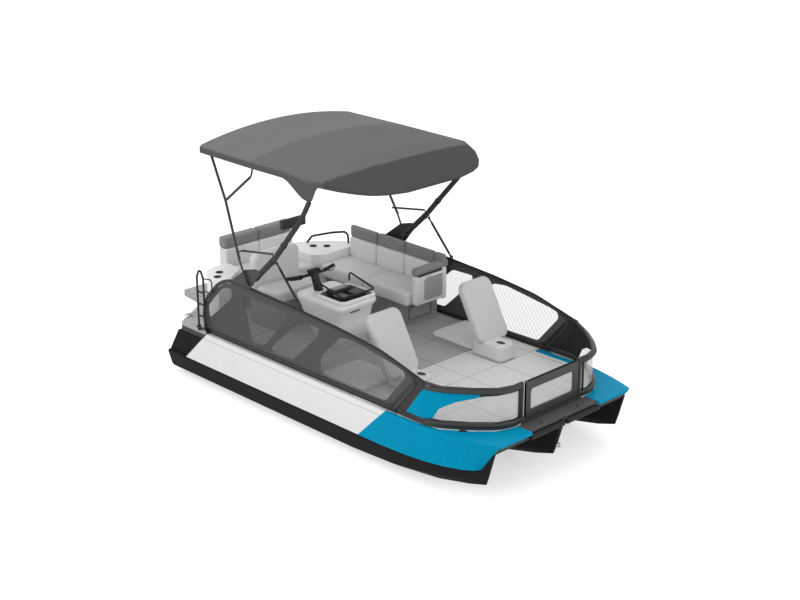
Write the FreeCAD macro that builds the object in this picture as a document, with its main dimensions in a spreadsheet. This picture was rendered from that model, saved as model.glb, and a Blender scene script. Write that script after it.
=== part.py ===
import FreeCAD, Part
import math
import os
import Sketcher

# A three-hull jet pontoon boat with a folding bimini, standing on its keels.
# Millimetres. +X is the bow, +Y is port, +Z is up. The origin lies on the floor,
# under the middle of the boat's length.

os.makedirs("parts", exist_ok=True)
doc = FreeCAD.newDocument("pontoon_boat")
sheet = doc.addObject("Spreadsheet::Sheet", "Sizes")
Vector = FreeCAD.Vector


class Length:
    """A size that knows its number and the words that bind it to the sheet."""

    def __init__(self, number, words):
        self.number = float(number)
        self.words = words

    def __float__(self):
        return self.number

    def __add__(self, other):
        return Length(self.number + float(other), f"({self.words} + {words_of(other)})")

    def __radd__(self, other):
        return Length(float(other) + self.number, f"({words_of(other)} + {self.words})")

    def __sub__(self, other):
        return Length(self.number - float(other), f"({self.words} - {words_of(other)})")

    def __rsub__(self, other):
        return Length(float(other) - self.number, f"({words_of(other)} - {self.words})")

    def __mul__(self, other):
        return Length(self.number * float(other), f"({self.words} * {words_of(other)})")

    __rmul__ = __mul__

    def __truediv__(self, other):
        return Length(self.number / float(other), f"({self.words} / {words_of(other)})")

    def __neg__(self):
        return Length(-self.number, f"(0 - {self.words})")


def words_of(value):
    """The words of a size, or a plain number written out."""
    return value.words if isinstance(value, Length) else f"{float(value):.9f}"


rows = []


def named(**values):
    """Write sizes into the sheet, one row each, and give them back as lengths."""
    made = []
    for name, number in values.items():
        row = len(rows) + 1
        rows.append(name)
        sheet.set(f"A{row}", name)
        sheet.set(f"B{row}", str(number))
        sheet.setAlias(f"B{row}", name)
        made.append(Length(number, f"Sizes.{name}"))
    doc.recompute()
    return made


def point(x, y, z):
    return Vector(float(x), float(y), float(z))


def bind(thing, **settings):
    """Set properties of an object, binding each to the sheet where it is a size."""
    for name, value in settings.items():
        if isinstance(value, Length):
            thing.setExpression(name, value.words)
        else:
            setattr(thing, name, value)
    return thing


# Sub-parts that are written out, in the order of the build
finished = []


def finish(thing, label):
    thing.Label = label
    finished.append(thing)
    return thing


def outline(body, plane, level, points):
    """A closed outline of straight runs on one of the body's planes, each corner bound."""
    role = {"XY": "XY_Plane", "XZ": "XZ_Plane", "YZ": "YZ_Plane"}[plane]
    face = [item for item in body.Origin.OriginFeatures if item.Role == role][0]
    sketch = body.newObject("Sketcher::SketchObject", "Outline")
    sketch.AttachmentSupport = [(face, "")]
    sketch.MapMode = "FlatFace"
    height = -level if plane == "XZ" else level
    sketch.AttachmentOffset = FreeCAD.Placement(Vector(0, 0, float(height)), FreeCAD.Rotation())
    if isinstance(height, Length):
        sketch.setExpression("AttachmentOffset.Base.z", height.words)
    corners = [Vector(float(a), float(b), 0) for a, b in points]
    count = len(corners)
    for index in range(count):
        sketch.addGeometry(Part.LineSegment(corners[index], corners[(index + 1) % count]), False)
    for index in range(count):
        sketch.addConstraint(Sketcher.Constraint("Coincident", index, 2, (index + 1) % count, 1))
    for index, pair in enumerate(points):
        for kind, value in zip(("DistanceX", "DistanceY"), pair):
            held = Sketcher.Constraint(kind, -1, 1, index, 1, float(value))
            number = sketch.addConstraint(held)
            if isinstance(value, Length):
                sketch.setExpression(f"Constraints[{number}]", value.words)
    return sketch


def slab(plane, low, high, points):
    """A body padded from low to high along the normal of the plane its outline lies on."""
    body = doc.addObject("PartDesign::Body", "Body")
    level = high if plane == "XZ" else low
    sketch = outline(body, plane, level, points)
    pad = body.newObject("PartDesign::Pad", "Pad")
    pad.Profile = sketch
    bind(pad, Length=high - low)
    doc.recompute()
    return body


def pocket(body, plane, low, high, points):
    """Cut an outline out of a body from low to high, and check that it cut something."""
    before = body.Shape.Volume
    level = low if plane == "XZ" else high
    sketch = outline(body, plane, level, points)
    cut = body.newObject("PartDesign::Pocket", "Pocket")
    cut.Profile = sketch
    bind(cut, Length=high - low)
    doc.recompute()
    if body.Shape.Volume >= before:
        raise ValueError(f"the pocket in {body.Name} cuts nothing")
    return cut


def drill(body, x, y, radius, top, deep):
    """A round blind hole bored down into a body from its top."""
    before = body.Shape.Volume
    face = [item for item in body.Origin.OriginFeatures if item.Role == "XY_Plane"][0]
    sketch = body.newObject("Sketcher::SketchObject", "Ring")
    sketch.AttachmentSupport = [(face, "")]
    sketch.MapMode = "FlatFace"
    sketch.AttachmentOffset = FreeCAD.Placement(Vector(0, 0, float(top)), FreeCAD.Rotation())
    sketch.setExpression("AttachmentOffset.Base.z", top.words)
    middle = Vector(float(x), float(y), 0)
    sketch.addGeometry(Part.Circle(middle, Vector(0, 0, 1), float(radius)), False)
    for held, value in ((Sketcher.Constraint("DistanceX", -1, 1, 0, 3, float(x)), x),
                        (Sketcher.Constraint("DistanceY", -1, 1, 0, 3, float(y)), y),
                        (Sketcher.Constraint("Radius", 0, float(radius)), radius)):
        number = sketch.addConstraint(held)
        sketch.setExpression(f"Constraints[{number}]", value.words)
    cut = body.newObject("PartDesign::Pocket", "Bore")
    cut.Profile = sketch
    bind(cut, Length=deep)
    doc.recompute()
    if body.Shape.Volume >= before:
        raise ValueError(f"the bore in {body.Name} cuts nothing")
    return cut


def along(edge, axis):
    """Whether a straight edge runs along the axis."""
    ends = edge.Vertexes
    if len(ends) != 2 or edge.Curve.TypeId != "Part::GeomLine":
        return False
    run = ends[1].Point.sub(ends[0].Point)
    return run.Length > 0 and abs(run.normalize().dot(axis)) > math.cos(math.radians(1))


def soften(body, radius, chosen):
    """Fillet the edges of the body's newest feature that the choice picks."""
    tip = body.Tip
    names = [f"Edge{n + 1}" for n, edge in enumerate(tip.Shape.Edges) if chosen(edge)]
    fillet = body.newObject("PartDesign::Fillet", "Fillet")
    fillet.Base = (tip, names)
    bind(fillet, Radius=radius)
    doc.recompute()
    return fillet


def upright(edge):
    return along(edge, Vector(0, 0, 1))


def mirrored(body):
    """The same piece on the other side of the boat."""
    twin = doc.addObject("Part::Mirroring", "Twin")
    twin.Source = body
    twin.Normal = Vector(0, 1, 0)
    doc.recompute()
    return twin


def group(shapes_of):
    """Several pieces that one node carries, as solids that don't touch."""
    both = doc.addObject("Part::Compound", "Pair")
    both.Links = shapes_of
    doc.recompute()
    return both


def pair(body):
    return group([body, mirrored(body)])


def flip(p):
    return Vector(p.x, -p.y, p.z)


def made_of(shape):
    """A feature that holds a shape worked out in this file."""
    thing = doc.addObject("Part::Feature", "Shape")
    thing.Shape = shape
    thing.Placement = FreeCAD.Placement()
    return thing


def bent_path(points, bend):
    """Straight runs through the points, with each corner rounded to the bend's radius."""
    edges = []
    start = points[0]
    for before, corner, after in zip(points, points[1:], points[2:]):
        come = corner.sub(before)
        leave = after.sub(corner)
        half = come.getAngle(leave) / 2
        reach = float(bend) * math.tan(half)
        room = 0.45 * min(come.Length, leave.Length)
        reach = min(reach, room)
        first = corner.sub(Vector(come).normalize().multiply(reach))
        last = corner.add(Vector(leave).normalize().multiply(reach))
        radius = reach / math.tan(half)
        inward = Vector(leave).normalize().sub(Vector(come).normalize()).normalize()
        middle = corner.add(Vector(inward).multiply(radius / math.cos(half) - radius))
        edges.append(Part.LineSegment(start, first).toShape())
        edges.append(Part.Arc(first, middle, last).toShape())
        start = last
    edges.append(Part.LineSegment(start, points[-1]).toShape())
    return Part.Wire(edges)


def tube(points, radius, bend):
    """A round bar bent along the points."""
    path = bent_path(points, bend)
    start = points[0]
    heading = points[1].sub(points[0])
    ring = Part.Wire(Part.Circle(start, heading, float(radius)).toShape())
    return path.makePipeShell([ring], True, False)


def rod(start, end, radius):
    run = end.sub(start)
    return Part.makeCylinder(float(radius), run.Length, start, run)


def box(low, high):
    size = high.sub(low)
    return Part.makeBox(size.x, size.y, size.z, low)


def section(corners):
    return Part.makePolygon(list(corners) + [corners[0]])


def prism(corners, run):
    """A flat outline of points carried along a run."""
    return Part.Face(section(corners)).extrude(run)


def faceted(outlines):
    """A solid of flat triangles through outlines that all have the same corners."""
    faces = []
    for near, far in zip(outlines, outlines[1:]):
        count = len(near)
        for index in range(count):
            after = (index + 1) % count
            faces.append([near[index], far[index], far[after]])
            faces.append([near[index], far[after], near[after]])
    for closing in (outlines[0], outlines[-1]):
        for index in range(1, len(closing) - 1):
            faces.append([closing[0], closing[index], closing[index + 1]])
    made = [Part.Face(section(corners)) for corners in faces]
    shell = Part.makeShell(made)
    shell.sewShape()
    solid = Part.makeSolid(shell)
    if solid.Volume < 0:
        solid.reverse()
    return solid


# The whole boat
length_overall, beam_overall = named(length_overall=5500, beam_overall=2440)
deck_top, deck_sheet, hull_top = named(deck_top=646, deck_sheet=40, hull_top=540)
deck_half, = named(deck_half_width=1150)
bow_end = length_overall / 2
stern_end = -length_overall / 2
deck_under = deck_top - deck_sheet

# The bow fairings' lower edge rises to the tip, and the hull's chine follows under it
fairing_start, fairing_nose, fairing_rake, tip_height, panel_low = named(
    fairing_start=1420, fairing_nose=2744, fairing_rake=200, tip_low_height=330, panel_low=283)
curve_share = 2.5
fairing_shares = (0.0, 0.25, 0.45, 0.62, 0.77, 0.89, 1.0)
panel_top, panel_crease, crease_half, panel_out = named(
    panel_top=637, panel_crease=550, crease_half=1200, panel_low_half=1220)
skin_top, skin_chine, fairing_skin, fairing_tip_y, seat_gap = named(
    skin_top_half=1155, skin_chine_half=1192, fairing_skin=27, fairing_tip_y=982, seat_gap=0.3)


def skin_foot(x):
    """The height of the skin's lower edge at a place along the boat."""
    start = float(fairing_start)
    share = max(0.0, (float(x) - start) / (float(fairing_nose) - start))
    return float(panel_low) + (float(tip_height) - float(panel_low)) * min(share, 1.0) ** 2


def fairing_section(share):
    """The skin's section part of the way from its start to the tip."""
    start = float(fairing_start)
    x = start + (float(fairing_nose) - start) * share
    inward = (float(skin_top) + float(fairing_skin) - float(fairing_tip_y)) * share ** curve_share
    belly = 1 - share
    low = skin_foot(x)
    crease = float(panel_crease)
    thick = float(fairing_skin)
    top = float(skin_top) + thick - inward
    mid = top + (float(crease_half) - float(skin_top) - thick) * belly
    foot = top + (float(panel_out) - float(skin_top) - thick) * belly
    lean = float(fairing_rake) * share ** 4 / (float(panel_top) - low)
    spots = [(top, float(panel_top)), (mid, crease), (foot, low), (foot - thick, low),
             (top - thick, float(panel_top))]
    return [Vector(x - lean * (float(panel_top) - z), y, z) for y, z in spots]


def outboard_of_skin():
    """All that lies outside the fairing's inner face, to trim the hull behind it."""
    out = Vector(0, float(beam_overall) / 4, 0)
    in_a_little = Vector(0, -float(seat_gap), 0)
    outlines = []
    for share in fairing_shares:
        _, _, _, foot, head = fairing_section(share)
        foot = foot.add(in_a_little)
        head = head.add(in_a_little)
        outlines.append([head, foot, foot.add(out), head.add(out)])
    return faceted(outlines)


# Hulls: a wide centre hull and two slimmer outer ones, drawn as sections from the
# transom to the raked stem
transom, stem_top = named(transom_back=2230, stem_top_x=2690)
hull_stern = -transom
stem_rake, keel_bow = named(stem_rake=100, keel_bow_rise=190)
centre_half, centre_chine, centre_keel = named(
    centre_half_width=400, centre_chine_height=300, centre_keel_half=120)
pontoon_y, pontoon_half = named(pontoon_centre=972, pontoon_half_width=183)
chine_gap, chine_step, chine_out = named(chine_gap=2, chine_step=30, chine_overhang=60)
keel_half, bilge_height = named(pontoon_keel_half=70, bilge_height=70)
parallel_end, = named(parallel_end=940)

# Shares of the way from the end of the straight body to the stem, with the width that
# is left there on the outside and the inside, and how far the keel has risen
bow_way_shares = (0.0, 0.32, 0.62, 0.86, 1.0)
bow_outer_shares = (1.0, 0.95, 0.68, 0.27, 0.06)
bow_inner_shares = (1.0, 0.96, 0.80, 0.45, 0.08)
bow_rise_shares = (0.0, 0.10, 0.35, 0.72, 1.0)


def bow_stations():
    """Place, outer share, inner share, keel rise and rake at each bow section."""
    run = float(stem_top - parallel_end)
    for way, outer, inner, rise in zip(
            bow_way_shares, bow_outer_shares, bow_inner_shares, bow_rise_shares):
        place = float(parallel_end) + run * way
        lean = float(stem_rake) * way ** 4
        yield place, outer, inner, float(keel_bow) * rise, lean


def leaning(place, lean, low, across, height):
    """A point of a bow section whose foot lies aft of its head."""
    share = (float(hull_top) - height) / (float(hull_top) - low)
    return Vector(place - lean * share, across, height)


def pontoon_section(place, outer, inner, rise, lean):
    """Half a trimaran's outer hull: a stepped chine outside and a plain side inside."""
    top = float(hull_top)
    mid = float(pontoon_y)
    step_low = skin_foot(place) - float(chine_gap)
    side = float(skin_top) - mid + (float(skin_chine) - float(skin_top)) * 0.2
    chine = float(skin_chine) - mid
    shelf = float(beam_overall) / 2 - mid - 3 * float(seat_gap)
    low = rise
    spots = [
        (-float(pontoon_half) * inner, top),
        (side * outer, top),
        (chine * outer, step_low),
        (shelf * outer, step_low - float(seat_gap)),
        (shelf * outer, step_low - float(chine_step)),
        ((shelf - float(chine_out)) * outer, low + float(bilge_height)),
        (float(keel_half) * outer, low),
        (-float(keel_half) * inner, low),
        (-float(pontoon_half) * 0.85 * inner, low + float(bilge_height)),
    ]
    return section([leaning(place, lean, low, mid + across, height) for across, height in spots])


stern_xs = named(stern_head_x=-1950, stern_knuckle_x=-2088, stern_low_x=-2100, stern_keel_x=-2000)
stern_zs = named(stern_knuckle_z=265, stern_low_z=90)


def aft_of_stern():
    """All that lies aft of the raked and knuckled stern of an outer hull."""
    far = -float(length_overall)
    high = float(hull_top)
    head, knuckle_x, low_x, keel_x = [float(x) for x in stern_xs]
    knuckle_z, low_z = [float(z) for z in stern_zs]
    corners = [Vector(head, 0, high), Vector(knuckle_x, 0, knuckle_z), Vector(low_x, 0, low_z),
               Vector(keel_x, 0, 0), Vector(keel_x, 0, -high), Vector(far, 0, -high),
               Vector(far, 0, high)]
    return prism(corners, Vector(0, float(beam_overall), 0))


def pontoon():
    sections = [pontoon_section(float(stern_xs[2]), 1, 1, 0, 0)]
    sections += [pontoon_section(*station) for station in bow_stations()]
    return Part.makeLoft(sections, True, True).cut(outboard_of_skin()).cut(aft_of_stern())


port_hull = made_of(pontoon())
finish(port_hull, "pontoon_port")
finish(mirrored(port_hull), "pontoon_starboard")

# The centre hull is hollowed for the engine, and its stern has the jet's tunnel
engine_x, engine_long, engine_wide, engine_tall = named(
    engine_back=1560, engine_length=820, engine_width=500, engine_height=380)
engine_floor, bay_room = named(engine_floor=120, engine_bay_room=25)
tunnel_long, tunnel_half, tunnel_roof = named(
    tunnel_length=380, tunnel_half_width=175, tunnel_roof=420)


def centre_section(place, outer, rise, lean):
    top = float(hull_top)
    low = rise
    chine = max(float(centre_chine), low + float(bilge_height) * 1.5)
    spots = [
        (float(centre_half) * outer, top),
        (float(centre_half) * 0.94 * outer, chine),
        (float(centre_half) * 0.72 * outer, low + float(bilge_height)),
        (float(centre_keel) * outer, low),
    ]
    spots += [(-across, height) for across, height in reversed(spots)]
    return section([leaning(place, lean, low, across, height) for across, height in spots])


def centre_hull():
    sections = [centre_section(float(hull_stern), 1, 0, 0)]
    sections += [centre_section(place, outer, rise, lean)
                 for place, outer, inner, rise, lean in bow_stations()]
    return Part.makeLoft(sections, True, True)


engine_low = point(-engine_x, -engine_wide / 2, engine_floor)
engine_high = point(-engine_x + engine_long, engine_wide / 2, engine_floor + engine_tall)
room = float(bay_room)
bay = box(engine_low.sub(Vector(room, room, 0)), Vector(engine_high.x + room,
                                                       engine_high.y + room, float(hull_top)))
tunnel = box(point(hull_stern, -tunnel_half, 0),
             point(hull_stern + tunnel_long, tunnel_half, tunnel_roof))
finish(made_of(centre_hull().cut(bay).cut(tunnel)), "centre_hull")

engine = doc.addObject("Part::Box", "Engine")
bind(engine, Length=engine_long, Width=engine_wide, Height=engine_tall)
engine.setExpression("Placement.Base.x", (-engine_x).words)
engine.setExpression("Placement.Base.y", (-engine_wide / 2).words)
engine.setExpression("Placement.Base.z", engine_floor.words)
finish(engine, "engine_block")

# The bridge deck joins the three hulls; its edge follows the fairings in to the bow
bow_square, stern_square, stern_corner = named(
    bow_square=2546, stern_corner_y=620, stern_corner_back=1900)
step_half, = named(step_half_width=506)
bridge_front, = named(bridge_front=2695.7)
bridge_tip = fairing_tip_y - fairing_skin - seat_gap * 10
bridge = slab("XY", hull_top, deck_under, [
    (hull_stern, -stern_square), (hull_stern, stern_square),
    (-stern_corner, deck_half), (fairing_start, deck_half),
    (bridge_front, bridge_tip), (bridge_front, -bridge_tip),
    (fairing_start, -deck_half), (-stern_corner, -deck_half)])
finish(bridge, "bridge_deck")

# Deck panels: the aft one grey, the bow one pale, each following the rail above it
rail_turn_x, = named(rail_turn_x=1864)
rail_plan_x = named(rail_x1=2081, rail_x2=2321, rail_x3=2490, rail_x4=2546)
rail_plan_y = named(rail_y1=1075, rail_y2=893, rail_y3=722, rail_y4=560)
plan = list(zip(rail_plan_x, rail_plan_y))
deck_split = parallel_end
lip, = named(deck_lip=15)

deck_aft = slab("XY", deck_under, deck_top, [
    (hull_stern, -stern_square), (hull_stern, stern_square),
    (-stern_corner, deck_half), (deck_split - seat_gap, deck_half),
    (deck_split - seat_gap, -deck_half), (-stern_corner, -deck_half)])
finish(deck_aft, "deck_aft")

edge = [(x, y + lip) for x, y in plan]
deck_bow = slab("XY", deck_under, deck_top, [
    (deck_split, -deck_half), (deck_split, deck_half), (rail_turn_x, deck_half - lip)]
    + edge + [(bow_square, step_half), (bow_square, -step_half)]
    + [(x, -y) for x, y in reversed(edge)] + [(rail_turn_x, -deck_half + lip)])
finish(deck_bow, "deck_bow")

# The swim platform carries on aft of the transom, over the jet
platform_half, platform_thick, platform_drop, platform_round = named(
    platform_half_width=500, platform_thickness=60, platform_drop=16, platform_round=60)
platform_top = deck_top - platform_drop
platform = slab("XY", platform_top - platform_thick, platform_top, [
    (stern_end, -platform_half), (stern_end, platform_half),
    (hull_stern - seat_gap, platform_half + platform_round),
    (hull_stern - seat_gap, -platform_half - platform_round)])
soften(platform, platform_round,
       lambda e: upright(e) and e.Vertexes[0].Point.x < float(stern_end) + 1)
finish(platform, "swim_platform")

# White side panels: a creased skin on the outer hulls, both ends raked aft
panel_back_top, panel_rake = named(panel_back_top=1403, panel_rake=350)


def skin(place_back, place_front):
    """A strip of hull skin with its crease, between two lengthwise places."""
    top = float(skin_top) + float(fairing_skin)
    outside = [(top, panel_top), (float(crease_half), panel_crease), (float(panel_out), panel_low)]
    inside = [(float(skin_chine) + float(seat_gap), panel_low), (float(skin_top), panel_top)]
    corners = [point(place_back, y, z) for y, z in outside + inside]
    return prism(corners, Vector(place_front - place_back, 0, 0))


def raked(back_top, front_top, wide):
    """A block over the skin's length whose ends lean aft going down."""
    rake = float(panel_rake)
    tall = float(panel_top - panel_low)
    over = float(fairing_skin)
    slope = rake / tall
    low = float(panel_low) - over
    high = float(panel_top) + over
    fall = slope * (float(panel_top) - low)
    lift = slope * (high - float(panel_top))
    corners = [Vector(back_top - fall, 0, low), Vector(front_top - fall, 0, low),
               Vector(front_top + lift, 0, high), Vector(back_top + lift, 0, high)]
    return prism(corners, Vector(0, wide, 0))


wide = float(beam_overall)
long_skin = skin(-float(transom), float(fairing_start) + float(fairing_skin))
panel = long_skin.common(raked(-float(panel_back_top), float(fairing_start), wide))
side_panel = made_of(panel)
finish(pair(side_panel), "side_panels")

# Blue bow fairings: the same skin drawn in to the raked tip, and a shelf on top of it

def fairing():
    start = float(fairing_start)
    shares = fairing_shares
    runs = [faceted([fairing_section(share) for share in shares])]
    back = long_skin.common(raked(start + float(seat_gap), start + wide, wide))
    reach = float(panel_rake) + float(fairing_skin)
    back = back.common(box(Vector(start - 2 * reach, 0, 0), Vector(start, wide, wide)))
    under = float(deck_under + seat_gap)
    over = float(panel_top)
    deck_edge = [Vector(float(x), float(y) + float(lip) + float(seat_gap), under)
                 for x, y in plan]
    rim = float(skin_top)
    corners = [Vector(start, rim, under), Vector(start, float(deck_half) + float(seat_gap), under),
               Vector(float(rail_turn_x), float(deck_half - lip) + 2 * float(seat_gap), under)]
    corners += deck_edge
    corners += [Vector(float(bow_square) + float(seat_gap), float(step_half), under),
                Vector(float(fairing_nose), float(step_half), under)]
    inner_skin = [fairing_section(share)[-1] for share in shares[1:]]
    corners += [Vector(spot.x, spot.y, under) for spot in reversed(inner_skin)]
    shelf = prism(corners, Vector(0, 0, over - under))
    return back.fuse(runs + [shelf]).removeSplitter()


finish(pair(made_of(fairing())), "bow_fairings")

# The bow step with the round bumper along its front edge
step_low, step_top_z = named(step_bottom=606, step_top=632)
step_front, = named(step_front=2700)
step = slab("XY", step_low, step_top_z, [
    (bow_square + seat_gap, -step_half + seat_gap), (bow_square + seat_gap, step_half - seat_gap),
    (step_front, step_half - seat_gap), (step_front, -step_half + seat_gap)])
finish(step, "bow_step")

bumper_round, bumper_z, bumper_gap = named(bumper_radius=27, bumper_height=573, bumper_gap=50)


def bumper():
    x = float(bow_end - bumper_round)
    halves = []
    for side in (-1, 1):
        start = Vector(x, side * float(bumper_gap) / 2, float(bumper_z))
        end = Vector(x, side * float(step_half), float(bumper_z))
        halves.append(rod(start, end, bumper_round))
    return Part.makeCompound(halves)


finish(made_of(bumper()), "bow_bumper")

# The side fences: one bent rail round each side, with a panel that has four windows
fence_y, rail_round, rail_bend, foot_rail_z = named(
    fence_y=1132, rail_radius=17, rail_bend=90, foot_rail_height=678)
fence_xs = named(fence_foot_x=-1470, fence_back_x=-1502, fence_rise_x=-1452, fence_arch_x=-1215,
                 fence_top_x=-1030, fence_front_x=1854)
fence_zs = named(fence_knee_z=840, fence_rise_z=1025, fence_arch_z=1262, fence_top_z=1345,
                 fence_front_z=1082)
fence_foot_x, fence_back_x, fence_rise_x, fence_arch_x, fence_top_x, fence_front_x = fence_xs
fence_knee_z, fence_rise_z, fence_arch_z, fence_top_z, fence_front_z = fence_zs
sag_xs = named(fence_sag_x1=-650, fence_sag_x2=0, fence_sag_x3=740, fence_sag_x4=1320)
sag_zs = named(fence_sag_z1=1334, fence_sag_z2=1312, fence_sag_z3=1272, fence_sag_z4=1214)
slant_foot, = named(slant_foot_x=1510)
foot_low = deck_top + seat_gap


def fence_points(y):
    line = [(fence_foot_x, foot_rail_z), (fence_back_x, fence_knee_z), (fence_rise_x, fence_rise_z),
            (fence_arch_x, fence_arch_z), (fence_top_x, fence_top_z)]
    line += list(zip(sag_xs, sag_zs))
    line += [(fence_front_x, fence_front_z), (slant_foot, foot_rail_z)]
    return [point(x, y, z) for x, z in line]


def fence_frame():
    rail = tube(fence_points(fence_y), rail_round, rail_bend)
    foot = rod(point(fence_foot_x, fence_y, foot_rail_z), point(slant_foot, fence_y, foot_rail_z),
               rail_round)
    whole = rail.fuse(foot)
    stub = float(rail_round)
    for share in (0.05, 0.27, 0.5, 0.75, 0.98):
        x = float(fence_foot_x) + (float(slant_foot) - float(fence_foot_x)) * share
        whole = whole.fuse(Part.makeCylinder(stub * 0.8, float(foot_rail_z - foot_low),
                                             Vector(x, float(fence_y), float(foot_low))))
    return whole.removeSplitter()


frame_shape = fence_frame()
port_fence = finish(made_of(frame_shape), "fence_frame_port")
finish(mirrored(port_fence), "fence_frame_starboard")

# Window corners of the fence panel, as places along X and heights
panel_half, window_inset, mesh_half = named(
    fence_panel_half=4, window_clearance=0.5, mesh_half=1.5)
window_one = list(zip(
    named(wa_x1=-1018, wa_x2=-968, wa_x3=-1000, wa_x4=-1396, wa_x5=-1412, wa_x6=-1149),
    named(wa_z1=1272, wa_z2=1251, wa_z3=1151, wa_z4=823, wa_z5=971, wa_z6=1237)))
window_two = list(zip(
    named(wb_x1=-814, wb_x2=-57, wb_x3=-126, wb_x4=-491, wb_x5=-667),
    named(wb_z1=1246, wb_z2=1249, wb_z3=1113, wb_z4=750, wb_z5=739)))
window_three = list(zip(
    named(wc_x1=108, wc_x2=422, wc_x3=389, wc_x4=-13, wc_x5=-345, wc_x6=-350),
    named(wc_z1=1207, wc_z2=1214, wc_z3=1112, wc_z4=733, wc_z5=725, wc_z6=786)))
window_four = list(zip(
    named(wd_x1=722, wd_x2=914, wd_x3=1634, wd_x4=1661, wd_x5=1382, wd_x6=454, wd_x7=418, wd_x8=429),
    named(wd_z1=1202, wd_z2=1225, wd_z3=1129, wd_z4=1054, wd_z5=722, wd_z6=708, wd_z7=780, wd_z8=905)))
windows = [window_one, window_two, window_three, window_four]


def grown_rail(gap):
    """The rail with a little room round it, so that the panel ends just short of it."""
    return tube(fence_points(fence_y), rail_round + gap, rail_bend)


def fence_panel():
    low = fence_y - panel_half
    flat = prism([point(p.x, low, p.z) for p in fence_points(fence_y)],
                 Vector(0, 2 * float(panel_half), 0))
    for outline_points in windows:
        hole = prism([point(x, low - panel_half, z) for x, z in outline_points],
                     Vector(0, 4 * float(panel_half), 0))
        flat = flat.cut(hole)
    flat = flat.cut(grown_rail(seat_gap))
    foot = rod(point(fence_foot_x * 2, fence_y, foot_rail_z),
               point(slant_foot * 2, fence_y, foot_rail_z), rail_round + seat_gap)
    flat = flat.cut(foot)
    best = max(flat.Solids, key=lambda solid: solid.Volume)
    return best


fence_sheet = made_of(fence_panel())
finish(pair(fence_sheet), "fence_panels")


def fence_mesh():
    panes = []
    rail_room = grown_rail(seat_gap * 2)
    for outline_points in windows:
        flat = [point(x, fence_y - mesh_half, z) for x, z in outline_points]
        ring = section(flat)
        smaller = ring.makeOffset2D(-float(window_inset), 2)
        pane = Part.Face(smaller).extrude(Vector(0, 2 * float(mesh_half), 0))
        panes.append(pane.cut(rail_room))
    return Part.makeCompound(panes)


finish(pair(made_of(fence_mesh())), "fence_mesh")

# Bow rails sweep from the fence's front in to the gate posts
post_x, post_y, post_round, post_top = named(
    gate_post_x=2528, gate_post_y=429, gate_post_radius=20, gate_post_top=1064)
bow_top_z, bow_low_z = named(bow_rail_top=1056, bow_rail_low=690)
wall_half, = named(bow_wall_half=3)
post_gap = post_round + seat_gap


def rail_line(z):
    """The bow rail's line in plan, at one height."""
    line = [point(x - lip, y - lip, z) for x, y in plan]
    return line + [point(post_x, post_y + post_gap, z)]


def bow_rail():
    start = point(fence_front_x + rail_round, fence_y, fence_front_z)
    top = [point(fence_front_x + 2 * rail_round, fence_y, fence_front_z)]
    top += rail_line(bow_top_z)
    low = [point(slant_foot + 3 * rail_round, fence_y, bow_low_z),
           point(rail_turn_x, fence_y, bow_low_z)] + rail_line(bow_low_z)
    upper = tube(top, rail_round, rail_bend)
    lower = tube(low, rail_round * 0.8, rail_bend)
    feet = []
    for spot in (low[1], low[3], low[4]):
        foot = Vector(spot.x, spot.y, float(foot_low))
        feet.append(rod(foot, spot, rail_round * 0.6))
    knot = rod(start, top[0], rail_round * 0.8)
    return upper.fuse([knot]), lower.fuse(feet)


rail_top_shape, rail_low_shape = bow_rail()
rails = Part.makeCompound([rail_top_shape, rail_low_shape])
finish(pair(made_of(rails)), "bow_rails")


def wall_strip():
    """The thin wall that follows the bow rails, from the fence to the post."""
    base = bow_low_z + rail_round
    line = [point(slant_foot, fence_y, base), point(rail_turn_x, fence_y, base)] + rail_line(base)
    face = tube_ribbon(line, float(bow_top_z - bow_low_z) - 2 * float(rail_round))
    return face


def tube_ribbon(line, tall):
    path = bent_path(line, rail_bend)
    half = float(wall_half)
    run = line[1].sub(line[0])
    side = Vector(-run.y, run.x, 0).normalize().multiply(half)
    start = line[0]
    up = Vector(0, 0, tall)
    ring = section([start.add(side), start.sub(side), start.sub(side).add(up),
                    start.add(side).add(up)])
    return path.makePipeShell([ring], True, False)


view_points = list(zip(
    named(view_x1=1985, view_x2=2045, view_x3=2180, view_x4=2390, view_x5=2600, view_x6=2600),
    named(view_z1=718, view_z2=830, view_z3=915, view_z4=985, view_z5=1000, view_z6=718)))


def bow_walls():
    strip = wall_strip()
    deep = 2 * wide
    view = prism([Vector(float(x), -wide, float(z)) for x, z in view_points], Vector(0, deep, 0))
    rise = float(fence_front_z - foot_rail_z)
    slope = float(fence_front_x - slant_foot) / rise
    clear = float(rail_round) * math.hypot(1, slope) + float(seat_gap) * 2
    low = Vector(float(slant_foot) + clear, -wide, float(foot_rail_z))
    high = Vector(float(fence_front_x) + clear, -wide, float(fence_front_z))
    back = prism([low, Vector(low.x - wide, -wide, low.z), Vector(low.x - wide, -wide, high.z),
                  high], Vector(0, deep, 0))
    wall = strip.cut(back)
    gap = float(window_inset)
    room = view.makeOffsetShape(gap, 0.01) if gap else view
    return wall.cut(room), wall.common(view)


blue_wall, clear_wall = bow_walls()
finish(pair(made_of(max(blue_wall.Solids, key=lambda s: s.Volume))), "bow_screens")
finish(pair(made_of(clear_wall)), "bow_windows")

# Gate posts and the bow gate between them
gate_clear, gate_thick, gate_bar, knuckle, knuckle_gap = named(
    gate_clearance=21, gate_thickness=24, gate_bar=42, knuckle_radius=9, knuckle_gap=3)
gate_low, gate_high, gate_pane = named(gate_bottom=668, gate_top=1052, gate_pane_half=2)
hinge_y = post_y - post_round - gate_clear
gate_edge = hinge_y - knuckle - knuckle_gap
hinge_zs = named(hinge_low=760, hinge_high=960)
knuckle_tall, = named(knuckle_height=60)


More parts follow.
